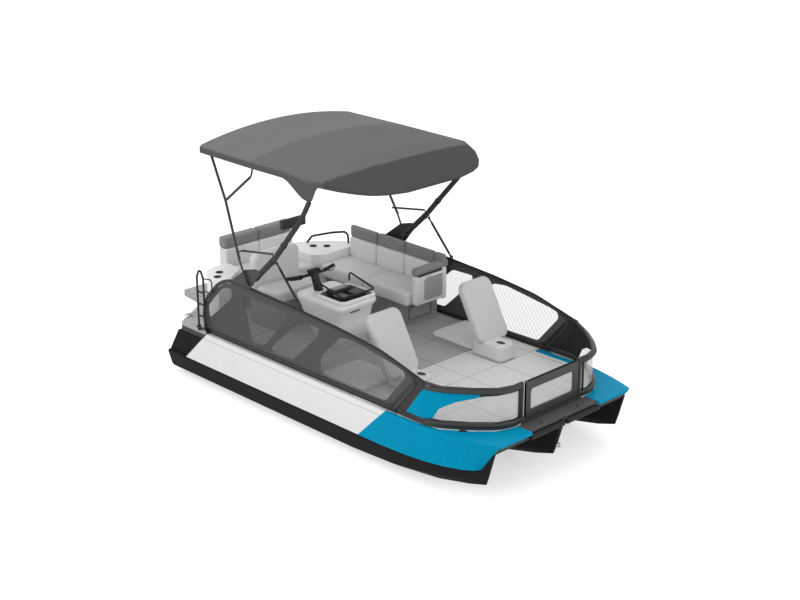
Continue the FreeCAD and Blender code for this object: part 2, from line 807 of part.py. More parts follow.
def gate_posts():
    posts = []
    for side in (-1, 1):
        foot = Vector(float(post_x), side * float(post_y), float(foot_low))
        post = Part.makeCylinder(float(post_round), float(post_top - foot_low), foot)
        if side > 0:
            for z in hinge_zs:
                barrel = Part.makeCylinder(
                    float(knuckle), float(knuckle_tall) / 2,
                    point(post_x, hinge_y, z))
                web = box(point(post_x - knuckle / 2, hinge_y, z),
                          point(post_x + knuckle / 2, post_y, z + knuckle_tall / 2))
                post = post.fuse([barrel, web])
        posts.append(post)
    return Part.makeCompound(posts)


finish(made_of(gate_posts()), "gate_posts")


def gate_frame():
    half = float(gate_thick) / 2
    low = Vector(float(post_x) - half, -float(gate_edge), float(gate_low))
    high = Vector(float(post_x) + half, float(gate_edge), float(gate_high))
    bar = float(gate_bar)
    leaf = box(low, high)
    hole = box(Vector(low.x - bar, low.y + bar, low.z + bar),
               Vector(high.x + bar, high.y - bar, high.z - bar))
    leaf = leaf.cut(hole)
    for z in hinge_zs:
        top = z - seat_gap
        barrel = Part.makeCylinder(float(knuckle), float(knuckle_tall) / 2,
                                   point(post_x, hinge_y, top - knuckle_tall / 2))
        web = box(point(post_x - knuckle / 2, gate_edge - knuckle, top - knuckle_tall / 2),
                  point(post_x + knuckle / 2, hinge_y, top))
        leaf = leaf.fuse([barrel, web])
    return leaf


finish(made_of(gate_frame()), "gate_frame")
pane_gap = gate_bar + window_inset
pane = slab("YZ", post_x - gate_pane, post_x + gate_pane, [
    (-gate_edge + pane_gap, gate_low + pane_gap), (gate_edge - pane_gap, gate_low + pane_gap),
    (gate_edge - pane_gap, gate_high - pane_gap), (-gate_edge + pane_gap, gate_high - pane_gap)])
finish(pane, "gate_screen")

# Bimini brackets: leaning plates that stand on the rails, with a hole through each. The main
# bow's pin turns in the hole, and the aft bow turns on the pin's outer end
plate_y, plate_thick = named(bracket_y=1138, bracket_thickness=7)
bracket_points = list(zip(
    named(br_x1=-990, br_x2=-662, br_x3=-470, br_x4=-560, br_x5=-735),
    named(br_z1=1361.6, br_z2=1351.8, br_z3=1588, br_z4=1600, br_z5=1552)))
pivot_x, pivot_z, pin_round = named(pivot_x=-684, pivot_height=1402, pin_radius=7)
main_y, main_round, eye_round = named(
    main_tube_y=1110, main_tube_radius=22, pivot_eye_radius=24)
aft_y, aft_round = named(aft_pole_y=1160, aft_pole_radius=11)
strut_round, strut_foot_x, strut_foot_z = named(
    strut_radius=10, strut_foot_x=100, strut_foot_height=1362)
strut_pin_x, strut_pin_z, strut_lug = named(
    strut_pin_x=-250, strut_pin_height=1734, strut_lug_offset=16)
strut_post, fence_sag_top = named(strut_post_radius=9, strut_post_foot=1324.4)


def brackets():
    sides = []
    for side in (-1, 1):
        corners = [Vector(float(x), side * float(plate_y), float(z)) for x, z in bracket_points]
        plate = prism(corners, Vector(0, side * float(plate_thick), 0))
        hole = rod(Vector(float(pivot_x), side * float(main_y), float(pivot_z)),
                   Vector(float(pivot_x), side * float(aft_y), float(pivot_z)),
                   pin_round + seat_gap)
        post_y = side * float(main_y + strut_round + strut_post + seat_gap * 2)
        post = rod(Vector(float(strut_foot_x), post_y, float(fence_sag_top)),
                   Vector(float(strut_foot_x), post_y, float(strut_foot_z + strut_post)), strut_post)
        sides.append(plate.cut(hole))
        sides.append(post)
    return Part.makeCompound(sides)


finish(made_of(brackets()), "bimini_brackets")

# Bimini: main bow, aft bow, struts and brace links. Each lies in its own lengthwise plane,
# so that they pass one another as the frame folds aft
main_pts = list(zip(
    named(ma_x1=-285, ma_x2=-95, ma_x3=190, ma_x4=340),
    named(ma_y1=1110, ma_y2=1120, ma_y3=1140, ma_y4=1034),
    named(ma_z1=1771, ma_z2=1990, ma_z3=2314, ma_z4=2724)))
aft_pts = list(zip(
    named(af_x1=-803, af_x2=-1087, af_x3=-1385),
    named(af_y1=1160, af_y2=1092, af_y3=1050),
    named(af_z1=1644, af_z2=2222, af_z3=2720)))
branch_pts = list(zip(
    named(bn_x1=-1087, bn_x2=-680, bn_x3=-650),
    named(bn_y1=1092, bn_y2=1065, bn_y3=1045),
    named(bn_z1=2222, bn_z2=2564, bn_z3=2724)))
bow_crown, frame_bend, visor_bow_x, visor_bow_y, visor_bow_z = named(
    bow_crown=95, frame_bend=60, visor_bow_x=800, visor_bow_y=560, visor_bow_height=2585)
link_y, link_half, link_tall, link_gap = named(
    link_y=1100, link_half_thickness=4, link_height=22, link_clamp_gap=0.5)
link_back_x, link_back_z, link_front_x, link_front_z = named(
    link_back_x=-825, link_back_height=1731, link_front_x=-325, link_front_height=1814)


def pivot_eye(y_inner, y_outer, radius):
    """A drum round the pivot pin between two places across the boat, and the hole through it."""
    reach = float(y_outer) - float(y_inner)
    start = point(pivot_x, y_inner, pivot_z)
    drum = Part.makeCylinder(float(radius), reach, start, Vector(0, 1, 0))
    bore_start = start.sub(Vector(0, reach, 0))
    bore = Part.makeCylinder(float(pin_round + seat_gap), reach * 3, bore_start, Vector(0, 1, 0))
    return drum, bore


def hoop(lower, corner, crown):
    """One side of a canopy bow up to its corner, and over to the other side in an arch."""
    side = list(lower)
    top = Vector(corner.x, 0, corner.z + float(crown))
    quarter = Vector(corner.x, corner.y / 2, corner.z + float(crown) * 0.75)
    points = side + [corner, quarter, top]
    points += [flip(quarter), flip(corner)] + [flip(p) for p in reversed(side)]
    return points


def both_sides(shape):
    """A shape on the port side and its reflection on the starboard side."""
    return [shape, shape.mirror(Vector(0, 0, 0), Vector(0, 1, 0))]


def main_bow():
    start = point(pivot_x, main_y, pivot_z)
    side = [start] + [point(*p) for p in main_pts[:-1]]
    corner = point(*main_pts[-1])
    arch = tube(hoop(side[-1:], corner, bow_crown), main_round * 0.55, frame_bend)
    visor_corner = point(visor_bow_x, visor_bow_y, visor_bow_z)
    visor = tube([corner, visor_corner, flip(visor_corner), flip(corner)], main_round * 0.5,
                 frame_bend)
    drum, _ = pivot_eye(main_y - main_round, plate_y - seat_gap, eye_round)
    pin = rod(point(pivot_x, main_y, pivot_z), point(pivot_x, aft_y + aft_round, pivot_z), pin_round)
    lug_y = main_y + strut_lug
    strut_arm = rod(point(main_pts[0][0], lug_y, main_pts[0][2]),
                    point(strut_pin_x, lug_y, strut_pin_z), pin_round * 0.8)
    clamp_y = link_y + link_half + link_gap + pin_round
    clamp = rod(point(main_pts[0][0], clamp_y, main_pts[0][2]),
                point(link_front_x, clamp_y, link_front_z), pin_round)
    post = tube(side, main_round, frame_bend).fuse([drum, pin, strut_arm, clamp])
    return arch.fuse(both_sides(post) + [visor])


finish(made_of(main_bow()), "main_bow")


def aft_bow():
    start = point(pivot_x, aft_y, pivot_z)
    pole = tube(hoop([start] + [point(*p) for p in aft_pts[:2]], point(*aft_pts[2]), bow_crown),
                aft_round, frame_bend)
    branch_side = [point(*branch_pts[0]), point(*branch_pts[1])]
    branch = tube(hoop(branch_side, point(*branch_pts[2]), bow_crown), aft_round * 0.9, frame_bend)
    drum, bore = pivot_eye(plate_y + plate_thick + seat_gap, aft_y + aft_round, eye_round * 0.8)
    share = float(link_back_z - aft_pts[0][2]) / float(aft_pts[1][2] - aft_pts[0][2])
    pole_y = float(aft_pts[0][1]) + (float(aft_pts[1][1]) - float(aft_pts[0][1])) * share
    pin = rod(Vector(float(link_back_x), pole_y, float(link_back_z)),
              point(link_back_x, link_y + link_half + link_gap, link_back_z), pin_round)
    whole = pole.fuse([branch] + both_sides(drum) + both_sides(pin))
    return whole.cut(both_sides(bore))


# The aft bow's hoop plugs into a short lower pole on each side, which turns on the pivot pin
pole_joint_z, = named(aft_pole_joint_height=1626)
aft_shape = aft_bow()
half_gap = float(seat_gap) / 2
below = box(Vector(-wide, -wide, 0), Vector(wide, wide, float(pole_joint_z) - half_gap))
above = box(Vector(-wide, -wide, float(pole_joint_z) + half_gap), Vector(wide, wide, 2 * wide))
finish(made_of(aft_shape.common(above)), "aft_bow")
finish(made_of(aft_shape.common(below)), "aft_poles")


def struts():
    top = point(strut_pin_x, main_y, strut_pin_z)
    foot = point(strut_foot_x, main_y, strut_foot_z)
    across = Vector(0, float(strut_round), 0)
    eyes = [rod(end.sub(across), end.add(across), strut_round * 1.3) for end in (top, foot)]
    return Part.makeCompound(both_sides(rod(top, foot, strut_round).fuse(eyes)))


finish(made_of(struts()), "front_struts")


def links():
    low_y = float(link_y - link_half)
    half = float(link_tall) / 2
    corners = [Vector(float(link_back_x), low_y, float(link_back_z) - half),
               Vector(float(link_front_x), low_y, float(link_front_z) - half),
               Vector(float(link_front_x), low_y, float(link_front_z) + half),
               Vector(float(link_back_x), low_y, float(link_back_z) + half)]
    bar = prism(corners, Vector(0, 2 * float(link_half), 0))
    ends = [Part.makeCylinder(half, 2 * float(link_half), Vector(float(x), low_y, float(z)),
                              Vector(0, 1, 0))
            for x, z in ((link_back_x, link_back_z), (link_front_x, link_front_z))]
    return Part.makeCompound(both_sides(bar.fuse(ends)))


finish(made_of(links()), "brace_links")

# Canopy: a cambered fabric roof with side hems and a visor whose front corners are round,
# hollow underneath
canopy_thick, canopy_back_x, canopy_half = named(
    canopy_thickness=14, canopy_back_x=-1508, canopy_half_width=1085)
roof_z, roof_camber, hem_drop = named(roof_edge_height=2745, roof_camber=110, hem_drop=85)

# The visor's sections: place, half width, height of the edge and of the crown above it
visor_sections = list(zip(
    named(visor_x1=560, visor_x2=720, visor_x3=815, visor_x4=880, visor_x5=916),
    named(visor_half1=985, visor_half2=870, visor_half3=760, visor_half4=600, visor_half5=380),
    named(visor_z1=2702, visor_z2=2661, visor_z3=2635, visor_z4=2617, visor_z5=2607),
    named(visor_crown1=70, visor_crown2=48, visor_crown3=32, visor_crown4=18, visor_crown5=8)))
hem_shares = (0.7, 0.45, 0.3, 0.25, 0.25)


def roof_section(x, half, edge_z, camber, hem):
    """A crowned roof line with turned-down hems, as one closed strip."""
    thick = float(canopy_thick)
    outer = []
    inner = []
    for share in (-1.0, -0.8, -0.4, 0.0, 0.4, 0.8, 1.0):
        rise = camber * (1 - share * share)
        outer.append(Vector(x, half * share, edge_z + rise))
        inner.append(Vector(x, (half - thick) * share, edge_z + rise - thick))
    left = [Vector(x, -half, edge_z - hem), Vector(x, -half + thick, edge_z - hem)]
    right = [Vector(x, half, edge_z - hem), Vector(x, half - thick, edge_z - hem)]
    return section(outer + [right[0], right[1]] + list(reversed(inner)) + [left[1], left[0]])


def canopy():
    half = float(canopy_half)
    hem = float(hem_drop)
    camber = float(roof_camber)
    stations = [
        roof_section(float(canopy_back_x), half, float(roof_z), camber, hem),
        roof_section(float(branch_pts[2][0]), half * 1.01, float(roof_z), camber, hem),
        roof_section(float(main_pts[-1][0]), half * 0.99, float(roof_z), camber, hem),
    ]
    for (x, across, z, crown), share in zip(visor_sections, hem_shares):
        stations.append(roof_section(float(x), float(across), float(z), float(crown), hem * share))
    return Part.makeLoft(stations, True, True)


finish(made_of(canopy()), "canopy")

# The mirror on its short arm from the starboard tube
mirror_wide, mirror_tall, mirror_thick = named(mirror_width=310, mirror_height=95, mirror_depth=45)
mirror_x, mirror_y, mirror_z = named(mirror_x=-190, mirror_y=-915, mirror_height_z=2095)
mirror_arm_x, mirror_arm_y, mirror_arm_z = named(
    mirror_arm_x=-60, mirror_arm_y=-1100, mirror_arm_height=2035)


def mirror():
    half = float(mirror_wide) / 2
    low = Vector(float(mirror_x) - float(mirror_thick), float(mirror_y) - half, float(mirror_z))
    high = Vector(float(mirror_x), float(mirror_y) + half, float(mirror_z + mirror_tall))
    case = box(low, high)
    arm = rod(Vector(float(mirror_x) - float(mirror_thick) / 2, float(mirror_y), float(mirror_z)),
              point(mirror_arm_x, mirror_arm_y, mirror_arm_z), pin_round)
    sleeve = tube([point(pivot_x, -main_y, pivot_z)] + [point(x, -y, z) for x, y, z in main_pts[:-1]],
                  main_round + seat_gap, frame_bend)
    return case.fuse(arm).cut(sleeve)


finish(made_of(mirror()), "mirror")

# The lounge: an L-shaped base with its cushions, corner module and backs
base_top, toe_kick, cushion_top = named(lounge_base_top=900, toe_kick=90, cushion_top=1060)
stern_back_x, stern_front_x = named(stern_seat_back=2060, stern_seat_front=1440)
stern_star_y, inner_y = named(stern_seat_starboard=365, port_seat_inner=490)
port_outer_y, port_front_x = named(port_seat_outer=950, port_seat_front=110)
module_points = list(zip(
    named(mo_x1=-1980, mo_x2=-1980, mo_x3=-1830, mo_x4=-1590, mo_x5=-1405, mo_x6=-1405, mo_x7=-1512),
    named(mo_y1=425, mo_y2=650, mo_y3=880, mo_y4=1090, mo_y5=1090, mo_y6=565, mo_y7=445)))
module_top, = named(module_top=1146)
module = slab("XY", deck_top, module_top, module_points)
cup_round, cup_deep = named(cup_radius=40, cup_depth=75)
module_cups = list(zip(named(cup_x1=-1740, cup_x2=-1625), named(cup_y1=684, cup_y2=795)))
for cup_x, cup_y in module_cups:
    drill(module, cup_x, cup_y, cup_round, module_top, cup_deep)
finish(module, "corner_module")

stern_seat = [(-stern_back_x, -stern_star_y), (-stern_front_x, -stern_star_y),
              (-stern_front_x, module_points[-1][1] - seat_gap * 2),
              (module_points[-1][0], module_points[-1][1] - seat_gap * 2),
              (module_points[0][0], module_points[0][1] - seat_gap * 2),
              (-stern_back_x, module_points[0][1] - seat_gap * 2)]
stern_base = slab("XY", deck_top, base_top, [
    (stern_seat[0][0], stern_seat[0][1] + toe_kick / 2),
    (stern_seat[1][0] - toe_kick, stern_seat[1][1] + toe_kick / 2),
    (stern_seat[2][0] - toe_kick, stern_seat[2][1]),
    (stern_seat[2][0] - toe_kick, stern_seat[4][1]), stern_seat[5]])
port_base = slab("XY", deck_top, base_top, [
    (module_points[5][0] + seat_gap, inner_y + toe_kick),
    (-toe_kick / 2, inner_y + toe_kick),
    (-toe_kick / 2, port_outer_y + toe_kick),
    (module_points[5][0] + seat_gap, port_outer_y + toe_kick)])
finish(group([stern_base, port_base]), "lounge_base")
stern_cushion = slab("XY", base_top + seat_gap, cushion_top, stern_seat)
finish(stern_cushion, "stern_cushion")
port_cushion = slab("XY", base_top + seat_gap, cushion_top, [
    (module_points[5][0] + seat_gap * 2, inner_y), (port_front_x - toe_kick, inner_y),
    (port_front_x - toe_kick, port_outer_y), (module_points[5][0] + seat_gap * 2, port_outer_y)])
finish(port_cushion, "port_cushion")

port_back_top, stern_back_top, back_thick, back_lean, port_rest_y, port_lean = named(
    port_back_top=1420, stern_back_top=1400, back_thickness=120, back_lean=40,
    port_rest_outer=1024, port_rest_lean=8)
port_back = slab("YZ", module_points[5][0] + seat_gap * 2, port_front_x - toe_kick, [
    (port_outer_y + seat_gap, base_top + seat_gap),
    (port_rest_y, base_top + seat_gap), (port_rest_y, port_back_top),
    (port_outer_y + port_lean, port_back_top)])
finish(port_back, "port_backrest")
stern_back = slab("XZ", -stern_star_y, module_points[1][1], [
    (-stern_back_x - seat_gap, deck_top), (-stern_back_x - back_thick, deck_top),
    (-stern_back_x - back_thick - back_lean * 0.5, stern_back_top),
    (-stern_back_x - back_lean * 0.5 - seat_gap, stern_back_top)])
finish(stern_back, "stern_backrest")

arm_round, arm_z, arm_inner, arm_thick = named(
    armrest_radius=52, armrest_height=1300, armrest_inner=560, armrest_panel=90)
arm_low, roll_forward, roll_over = named(armrest_low=905, roll_forward=12, roll_overhang=20)


def armrest():
    x = float(port_front_x - toe_kick + seat_gap)
    panel = box(Vector(x, float(arm_inner), float(arm_low)),
                Vector(x + float(arm_thick), float(port_outer_y + back_thick), float(arm_z)))
    roll_x = x + float(arm_thick) / 2 + float(roll_forward)
    roll = rod(Vector(roll_x, float(arm_inner - roll_over), float(arm_z)),
               Vector(roll_x, float(port_outer_y + back_thick), float(arm_z)), arm_round)
    return panel.fuse(roll)


finish(made_of(armrest()), "armrest")

tray_points = list(zip(
    named(tr_x1=-1975, tr_x2=-1985, tr_x3=-1925, tr_x4=-1750, tr_x5=-1545, tr_x6=-1530, tr_x7=-1735),
    named(tr_y1=-420, tr_y2=-600, tr_y3=-755, tr_y4=-880, tr_y5=-885, tr_y6=-740, tr_y7=-420)))
tray_top, = named(tray_top=1142)
tray = slab("XY", deck_top, tray_top, tray_points)
tray_cups = list(zip(named(cup_x3=-1785, cup_x4=-1680), named(cup_y3=-680, cup_y4=-790)))
for cup_x, cup_y in tray_cups:
    drill(tray, cup_x, cup_y, cup_round, tray_top, cup_deep)
finish(tray, "corner_tray")

# The helm seat
helm_back_x, helm_front_x, helm_star, helm_port = named(
    helm_back=1340, helm_front=880, helm_starboard=600, helm_port_side=60)
helm_top, helm_soft, helm_back_top, helm_back_thick = named(
    helm_base_top=960, helm_cushion_top=1100, helm_back_top=1455, helm_back_thickness=85)
helm_base = slab("XY", deck_top, helm_top, [
    (-helm_back_x, -helm_star), (-helm_front_x, -helm_star), (-helm_front_x, helm_port),
    (-helm_back_x, helm_port)])
finish(helm_base, "helm_base")
helm_cushion = slab("XY", helm_top + seat_gap, helm_soft, [
    (-helm_back_x + helm_back_thick, -helm_star), (-helm_front_x, -helm_star),
    (-helm_front_x, helm_port), (-helm_back_x + helm_back_thick, helm_port)])
finish(helm_cushion, "helm_cushion")
helm_rest = slab("XZ", -helm_star, helm_port, [
    (-helm_back_x, helm_top + seat_gap), (-helm_back_x + helm_back_thick - seat_gap, helm_top + seat_gap),
    (-helm_back_x + helm_back_thick * 0.6, helm_back_top), (-helm_back_x - back_lean * 0.5, helm_back_top)])
finish(helm_rest, "helm_backrest")

# The helm console with its tray, windscreen and handlebar
console_star, console_port = named(console_starboard=520, console_port=110)
console_line = list(zip(
    named(co_x1=-450, co_x2=-690, co_x3=-560, co_x4=-60, co_x5=80, co_x6=40, co_x7=-40),
    named(co_z1=646, co_z2=1120, co_z3=1160, co_z4=1160, co_z5=1105, co_z6=960, co_z7=646)))
console = slab("XZ", -console_star, console_port, console_line)
finish(console, "console")

tray_box = named(ct_back=400, ct_front=20, ct_star=450, ct_port=30, ct_low=1160.3, ct_top=1230)
ct_back, ct_front, ct_star, ct_port, ct_low, ct_top = tray_box
tray_wall, = named(console_tray_wall=18)
dash = slab("XY", ct_low, ct_top, [
    (-ct_back, -ct_star), (ct_front, -ct_star), (ct_front, ct_port), (-ct_back, ct_port)])
pocket(dash, "XY", ct_low + tray_wall, ct_top, [
    (-ct_back + tray_wall, -ct_star + tray_wall), (ct_front - tray_wall, -ct_star + tray_wall),
    (ct_front - tray_wall, ct_port - tray_wall), (-ct_back + tray_wall, ct_port - tray_wall)])
finish(dash, "dash_tray")

screen_round, screen_lift = named(screen_tube_radius=10, screen_lift=90)


def windscreen():
    inset = float(screen_round)
    low = float(ct_top + seat_gap)
    z = low + inset
    lift = float(screen_lift)
    back_x = -float(ct_back) + inset
    front_x = float(ct_front) - inset
    star_y = -float(ct_star) + inset
    port_y = float(ct_port) - inset
    line = [Vector(back_x, star_y, low), Vector(back_x, star_y, z + lift),
            Vector(front_x, star_y, z), Vector(front_x, port_y, z),
            Vector(back_x, port_y, z + lift), Vector(back_x, port_y, low)]
    return tube(line, screen_round, frame_bend * 0.5)


finish(made_of(windscreen()), "windscreen")

# Handlebar: turns on a column that leans aft
column_x, column_y, column_z, column_lean = named(
    column_x=-560, column_y=-290, column_height=1195, column_lean=120)
bar_half, grip_round, column_round, bar_rise, bar_sweep = named(
    handlebar_half=340, grip_radius=17, column_radius=45, column_rise=150, handlebar_sweep=60)


def column_top():
    return point(column_x - column_lean * 0.5, column_y, column_z + bar_rise)


def handlebar():
    foot = point(column_x, column_y, column_z)
    top = column_top()
    post = rod(foot, top, column_round)
    half = float(bar_half)
    sweep = -float(bar_sweep)
    middle = top.add(Vector(0, 0, -float(grip_round)))
    line = [middle.add(Vector(sweep, -half, 0)), middle.add(Vector(0, -half * 0.45, 0)),
            middle.add(Vector(0, half * 0.45, 0)), middle.add(Vector(sweep, half, 0))]
    return post.fuse(tube(line, grip_round, frame_bend))


finish(made_of(handlebar()), "handlebar")


def steering_boot():
    """The fixed collar that the column turns in, seated on the console's sloping top."""
    foot = point(column_x, column_y, column_z)
    heading = column_top().sub(foot).normalize()
    end = foot.sub(Vector(heading).multiply(float(seat_gap)))
    start = foot.sub(Vector(heading).multiply(float(column_round) * 2))
    sunk = console.Shape.copy()
    sunk.translate(Vector(0, 0, float(seat_gap)))
    collar = rod(start, end, column_round * 1.12).cut(sunk)
    return max(collar.Solids, key=lambda solid: solid.BoundBox.ZMax)


finish(made_of(steering_boot()), "steering_boot")

# Bow seats: a flat pad, a moulded block and a leaning back on each side
pad_back, pad_front, pad_inner, pad_outer, pad_top = named(
    pad_back=360, pad_front=960, pad_inner=540, pad_outer=1080, pad_top=700)
bow_pad = slab("XY", deck_top + seat_gap, pad_top, [
    (pad_back, pad_inner), (pad_front, pad_inner), (pad_front, pad_outer), (pad_back, pad_outer)])
finish(pair(bow_pad), "bow_seat_pads")
block_back, block_front, block_inner, block_outer, block_top = named(
    block_back=980, block_front=1440, block_inner=480, block_outer=860, block_top=830)
bow_block = slab("XY", deck_top, block_top, [
    (block_back, block_inner), (block_front, block_inner), (block_front, block_outer),
    (block_back, block_outer)])
finish(pair(bow_block), "bow_seat_blocks")
rest_foot, rest_head, rest_top, rest_thick = named(
    bow_back_foot=1100, bow_back_head=850, bow_back_top=1450, bow_back_thickness=85)
bow_rest = slab("XZ", block_inner, block_outer, [
    (rest_foot - rest_thick, block_top + seat_gap), (rest_foot, block_top + seat_gap),
    (rest_head, rest_top), (rest_head - rest_thick, rest_top - rest_thick * 0.4)])
finish(pair(bow_rest), "bow_backrests")

# Stern grab rail, cleats and eyes
rail_spots = list(zip(
    named(sr_x1=-1900, sr_x2=-1860, sr_x3=-1700, sr_x4=-1548, sr_x5=-1535),
    named(sr_y1=712, sr_y2=770, sr_y3=945, sr_y4=1062, sr_y5=1058)))
grab_round, grab_low, grab_mid, grab_high = named(
    grab_rail_radius=13, grab_rail_low=1222, grab_rail_middle=1262, grab_rail_high=1284)


def grab_rail():
    sunk = module_top - grab_round
    heights = (sunk, grab_low, grab_mid, grab_high, sunk)
    line = [point(x, y, z) for (x, y), z in zip(rail_spots, heights)]
    under = box(Vector(-wide, 0, 0), Vector(0, wide, float(module_top + seat_gap)))
    return tube(line, grab_round, frame_bend).cut(under)


finish(made_of(grab_rail()), "stern_grab_rail")

eye_out, eye_hole, eye_thick, eye_x, eye_z = named(
    eye_radius=26, eye_hole_radius=12, eye_thickness=12, bow_eye_x=2652, bow_eye_height=300)
tow_y, tow_z, tow_reach = named(tow_eye_y=300, tow_eye_height=380, tow_eye_reach=30)
cleat_long, cleat_round, cleat_tall = named(cleat_length=150, cleat_radius=9, cleat_height=38)
cleat_x, cleat_y = named(cleat_x=1950, cleat_y=990)


def cleat(x, y):
    base = float(foot_low)
    arm = Vector(0, float(cleat_long) / 2, 0)
    middle = Vector(float(x), float(y), base + float(cleat_tall))
    horn = rod(middle.sub(arm), middle.add(arm), cleat_round)
    leg = Part.makeCylinder(float(cleat_round) * 1.4, float(cleat_tall),
                            Vector(float(x), float(y), base))
    return horn.fuse(leg)


def eye(x, y, z, root_x):
    """A flat lug with a hole across the boat, and the web that carries it."""
    half = float(eye_thick) / 2
    across = Vector(0, 1, 0)
    low = Vector(float(x), float(y) - half, float(z))
    disc = Part.makeCylinder(float(eye_out), 2 * half, low, across)
    reach = sorted([float(root_x), float(x)])
    web = box(Vector(reach[0], float(y) - half, float(z) - float(eye_out)),
              Vector(reach[1], float(y) + half, float(z) + float(eye_out)))
    hole = Part.makeCylinder(float(eye_hole), 4 * half, low.sub(across.multiply(half)),
                             Vector(0, 1, 0))
    return disc.fuse(web).cut(hole)


def fittings():
    bow = eye(eye_x, 0, eye_z, eye_x - eye_out * 3)
    skin_ahead = centre_hull()
    skin_ahead.translate(Vector(float(seat_gap), 0, 0))
    bow = max(bow.cut(skin_ahead).Solids, key=lambda solid: solid.BoundBox.XMax)
    solids = [bow]
    for side in (-1, 1):
        solids.append(eye(hull_stern - tow_reach, side * float(tow_y), tow_z, hull_stern - seat_gap))
        solids.append(cleat(-cleat_x, side * float(cleat_y)))
    return Part.makeCompound(solids)


finish(made_of(fittings()), "deck_fittings")

# The jet: a bored pump housing, its impeller, steering nozzle and reverse gate
jet_z, pump_round, pump_bore, flange_round = named(
    jet_height=230, pump_radius=105, pump_bore_radius=80, flange_radius=130)
pump_long, flange_thick, cone_long, tail_long, tail_round, tail_bore = named(
    pump_length=230, flange_thickness=18, cone_length=60, tail_length=70, tail_radius=60,
    tail_bore_radius=50)
pump_front = hull_stern + tunnel_long - seat_gap
nozzle_axis_back, ear_gap, ear_thick, ear_half = named(
    nozzle_axis_back=340, ear_clearance=96.3, ear_thickness=12, ear_half_width=14)
nozzle_axis = pump_front - nozzle_axis_back
yoke_y, yoke_thick, yoke_deep = named(yoke_y=110, yoke_thickness=12, yoke_depth=36)
gate_hinge_x, gate_hinge_z = named(gate_hinge_back=2232, gate_hinge_height=318)


def turned(profile, centre_z):
    """A solid turned about the jet's axis from places along X and radii."""
    corners = [Vector(float(x), 0, float(centre_z) + float(r)) for x, r in profile]
    face = Part.Face(section(corners))
    return face.revolve(Vector(0, 0, float(centre_z)), Vector(1, 0, 0), 360)


def jet_pump():
    front = float(pump_front)
    back = front - float(pump_long)
    neck = back - float(cone_long)
    end = neck - float(tail_long)
    profile = [(front, pump_bore), (front, flange_round), (front - float(flange_thick), flange_round),
               (front - float(flange_thick), pump_round), (back, pump_round), (neck, tail_round),
               (end, tail_round), (end, tail_bore), (neck, tail_bore), (back, pump_bore)]
    whole = turned(profile, jet_z)
    reach = float(nozzle_axis) - float(ear_half)
    for side in (-1, 1):
        z = float(jet_z) + side * float(ear_gap + ear_thick / 2)
        half = float(ear_thick) / 2
        ear = box(Vector(reach, -float(ear_half), z - half),
                  Vector(back + float(flange_thick), float(ear_half), z + half))
        whole = whole.fuse(ear)
        arm_y = side * float(yoke_y + yoke_thick / 2)
        across = float(yoke_thick) / 2
        arm = box(Vector(-float(gate_hinge_x) - float(yoke_deep) / 2, arm_y - across,
                         float(gate_hinge_z - yoke_deep / 2)),
                  Vector(back + float(flange_thick), arm_y + across,
                         float(gate_hinge_z + yoke_deep / 2)))
        boss = rod(Vector(-float(gate_hinge_x), side * float(yoke_y), float(gate_hinge_z)),
                   Vector(-float(gate_hinge_x), side * float(gate_arm_y - seat_gap),
                          float(gate_hinge_z)), ear_half)
        whole = whole.fuse([arm, boss])
    beam = box(Vector(back - float(flange_thick), -float(yoke_y), float(jet_z) + float(tail_round)),
               Vector(back + float(flange_thick), float(yoke_y + yoke_thick),
                      float(gate_hinge_z + yoke_deep / 2)))
    core = Part.makeCylinder(float(pump_bore + yoke_thick / 2), wide,
                             Vector(back - wide / 2, 0, float(jet_z)), Vector(1, 0, 0))
    return whole.fuse(beam.cut(core))


gate_arm_y, gate_arm_thick, gate_reach, gate_shell = named(
    gate_arm_y=128, gate_arm_thickness=9, gate_reach=232, gate_shell=10)
finish(made_of(jet_pump()), "jet_pump")

hub_round, blade_round, shaft_round, blade_thick, blade_long = named(
    hub_radius=26, blade_radius=72, shaft_radius=12, blade_thickness=7, blade_length=70)
shaft_long, hub_over = named(shaft_length=60, hub_overhang=10)


def impeller():
    front = float(pump_front)
    hub_x = front - float(shaft_long)
    shaft = rod(Vector(front, 0, float(jet_z)), Vector(hub_x, 0, float(jet_z)), shaft_round)
    hub = rod(Vector(hub_x, 0, float(jet_z)),
              Vector(hub_x - float(blade_long + hub_over * 2), 0, float(jet_z)), hub_round)
    whole = shaft.fuse(hub)
    for turn in range(4):
        blade = box(Vector(-float(blade_long) / 2, -float(blade_thick) / 2, float(hub_round) * 0.6),
                    Vector(float(blade_long) / 2, float(blade_thick) / 2, float(blade_round)))
        blade.rotate(Vector(0, 0, 0), Vector(0, 0, 1), 35)
        trim = Part.makeCylinder(float(blade_round), float(blade_long) * 2,
                                 Vector(-float(blade_long), 0, 0), Vector(1, 0, 0))
        blade = blade.common(trim)
        blade.rotate(Vector(0, 0, 0), Vector(1, 0, 0), 90 * turn)
        blade.translate(Vector(hub_x - float(blade_long / 2 + hub_over), 0, float(jet_z)))
        whole = whole.fuse(blade)
    return whole


finish(made_of(impeller()), "impeller")

nozzle_bore, nozzle_round, nozzle_long, nozzle_exit, nozzle_lead = named(
    nozzle_bore_radius=78, nozzle_radius=86, nozzle_length=160, nozzle_exit_radius=46, nozzle_lead=18)


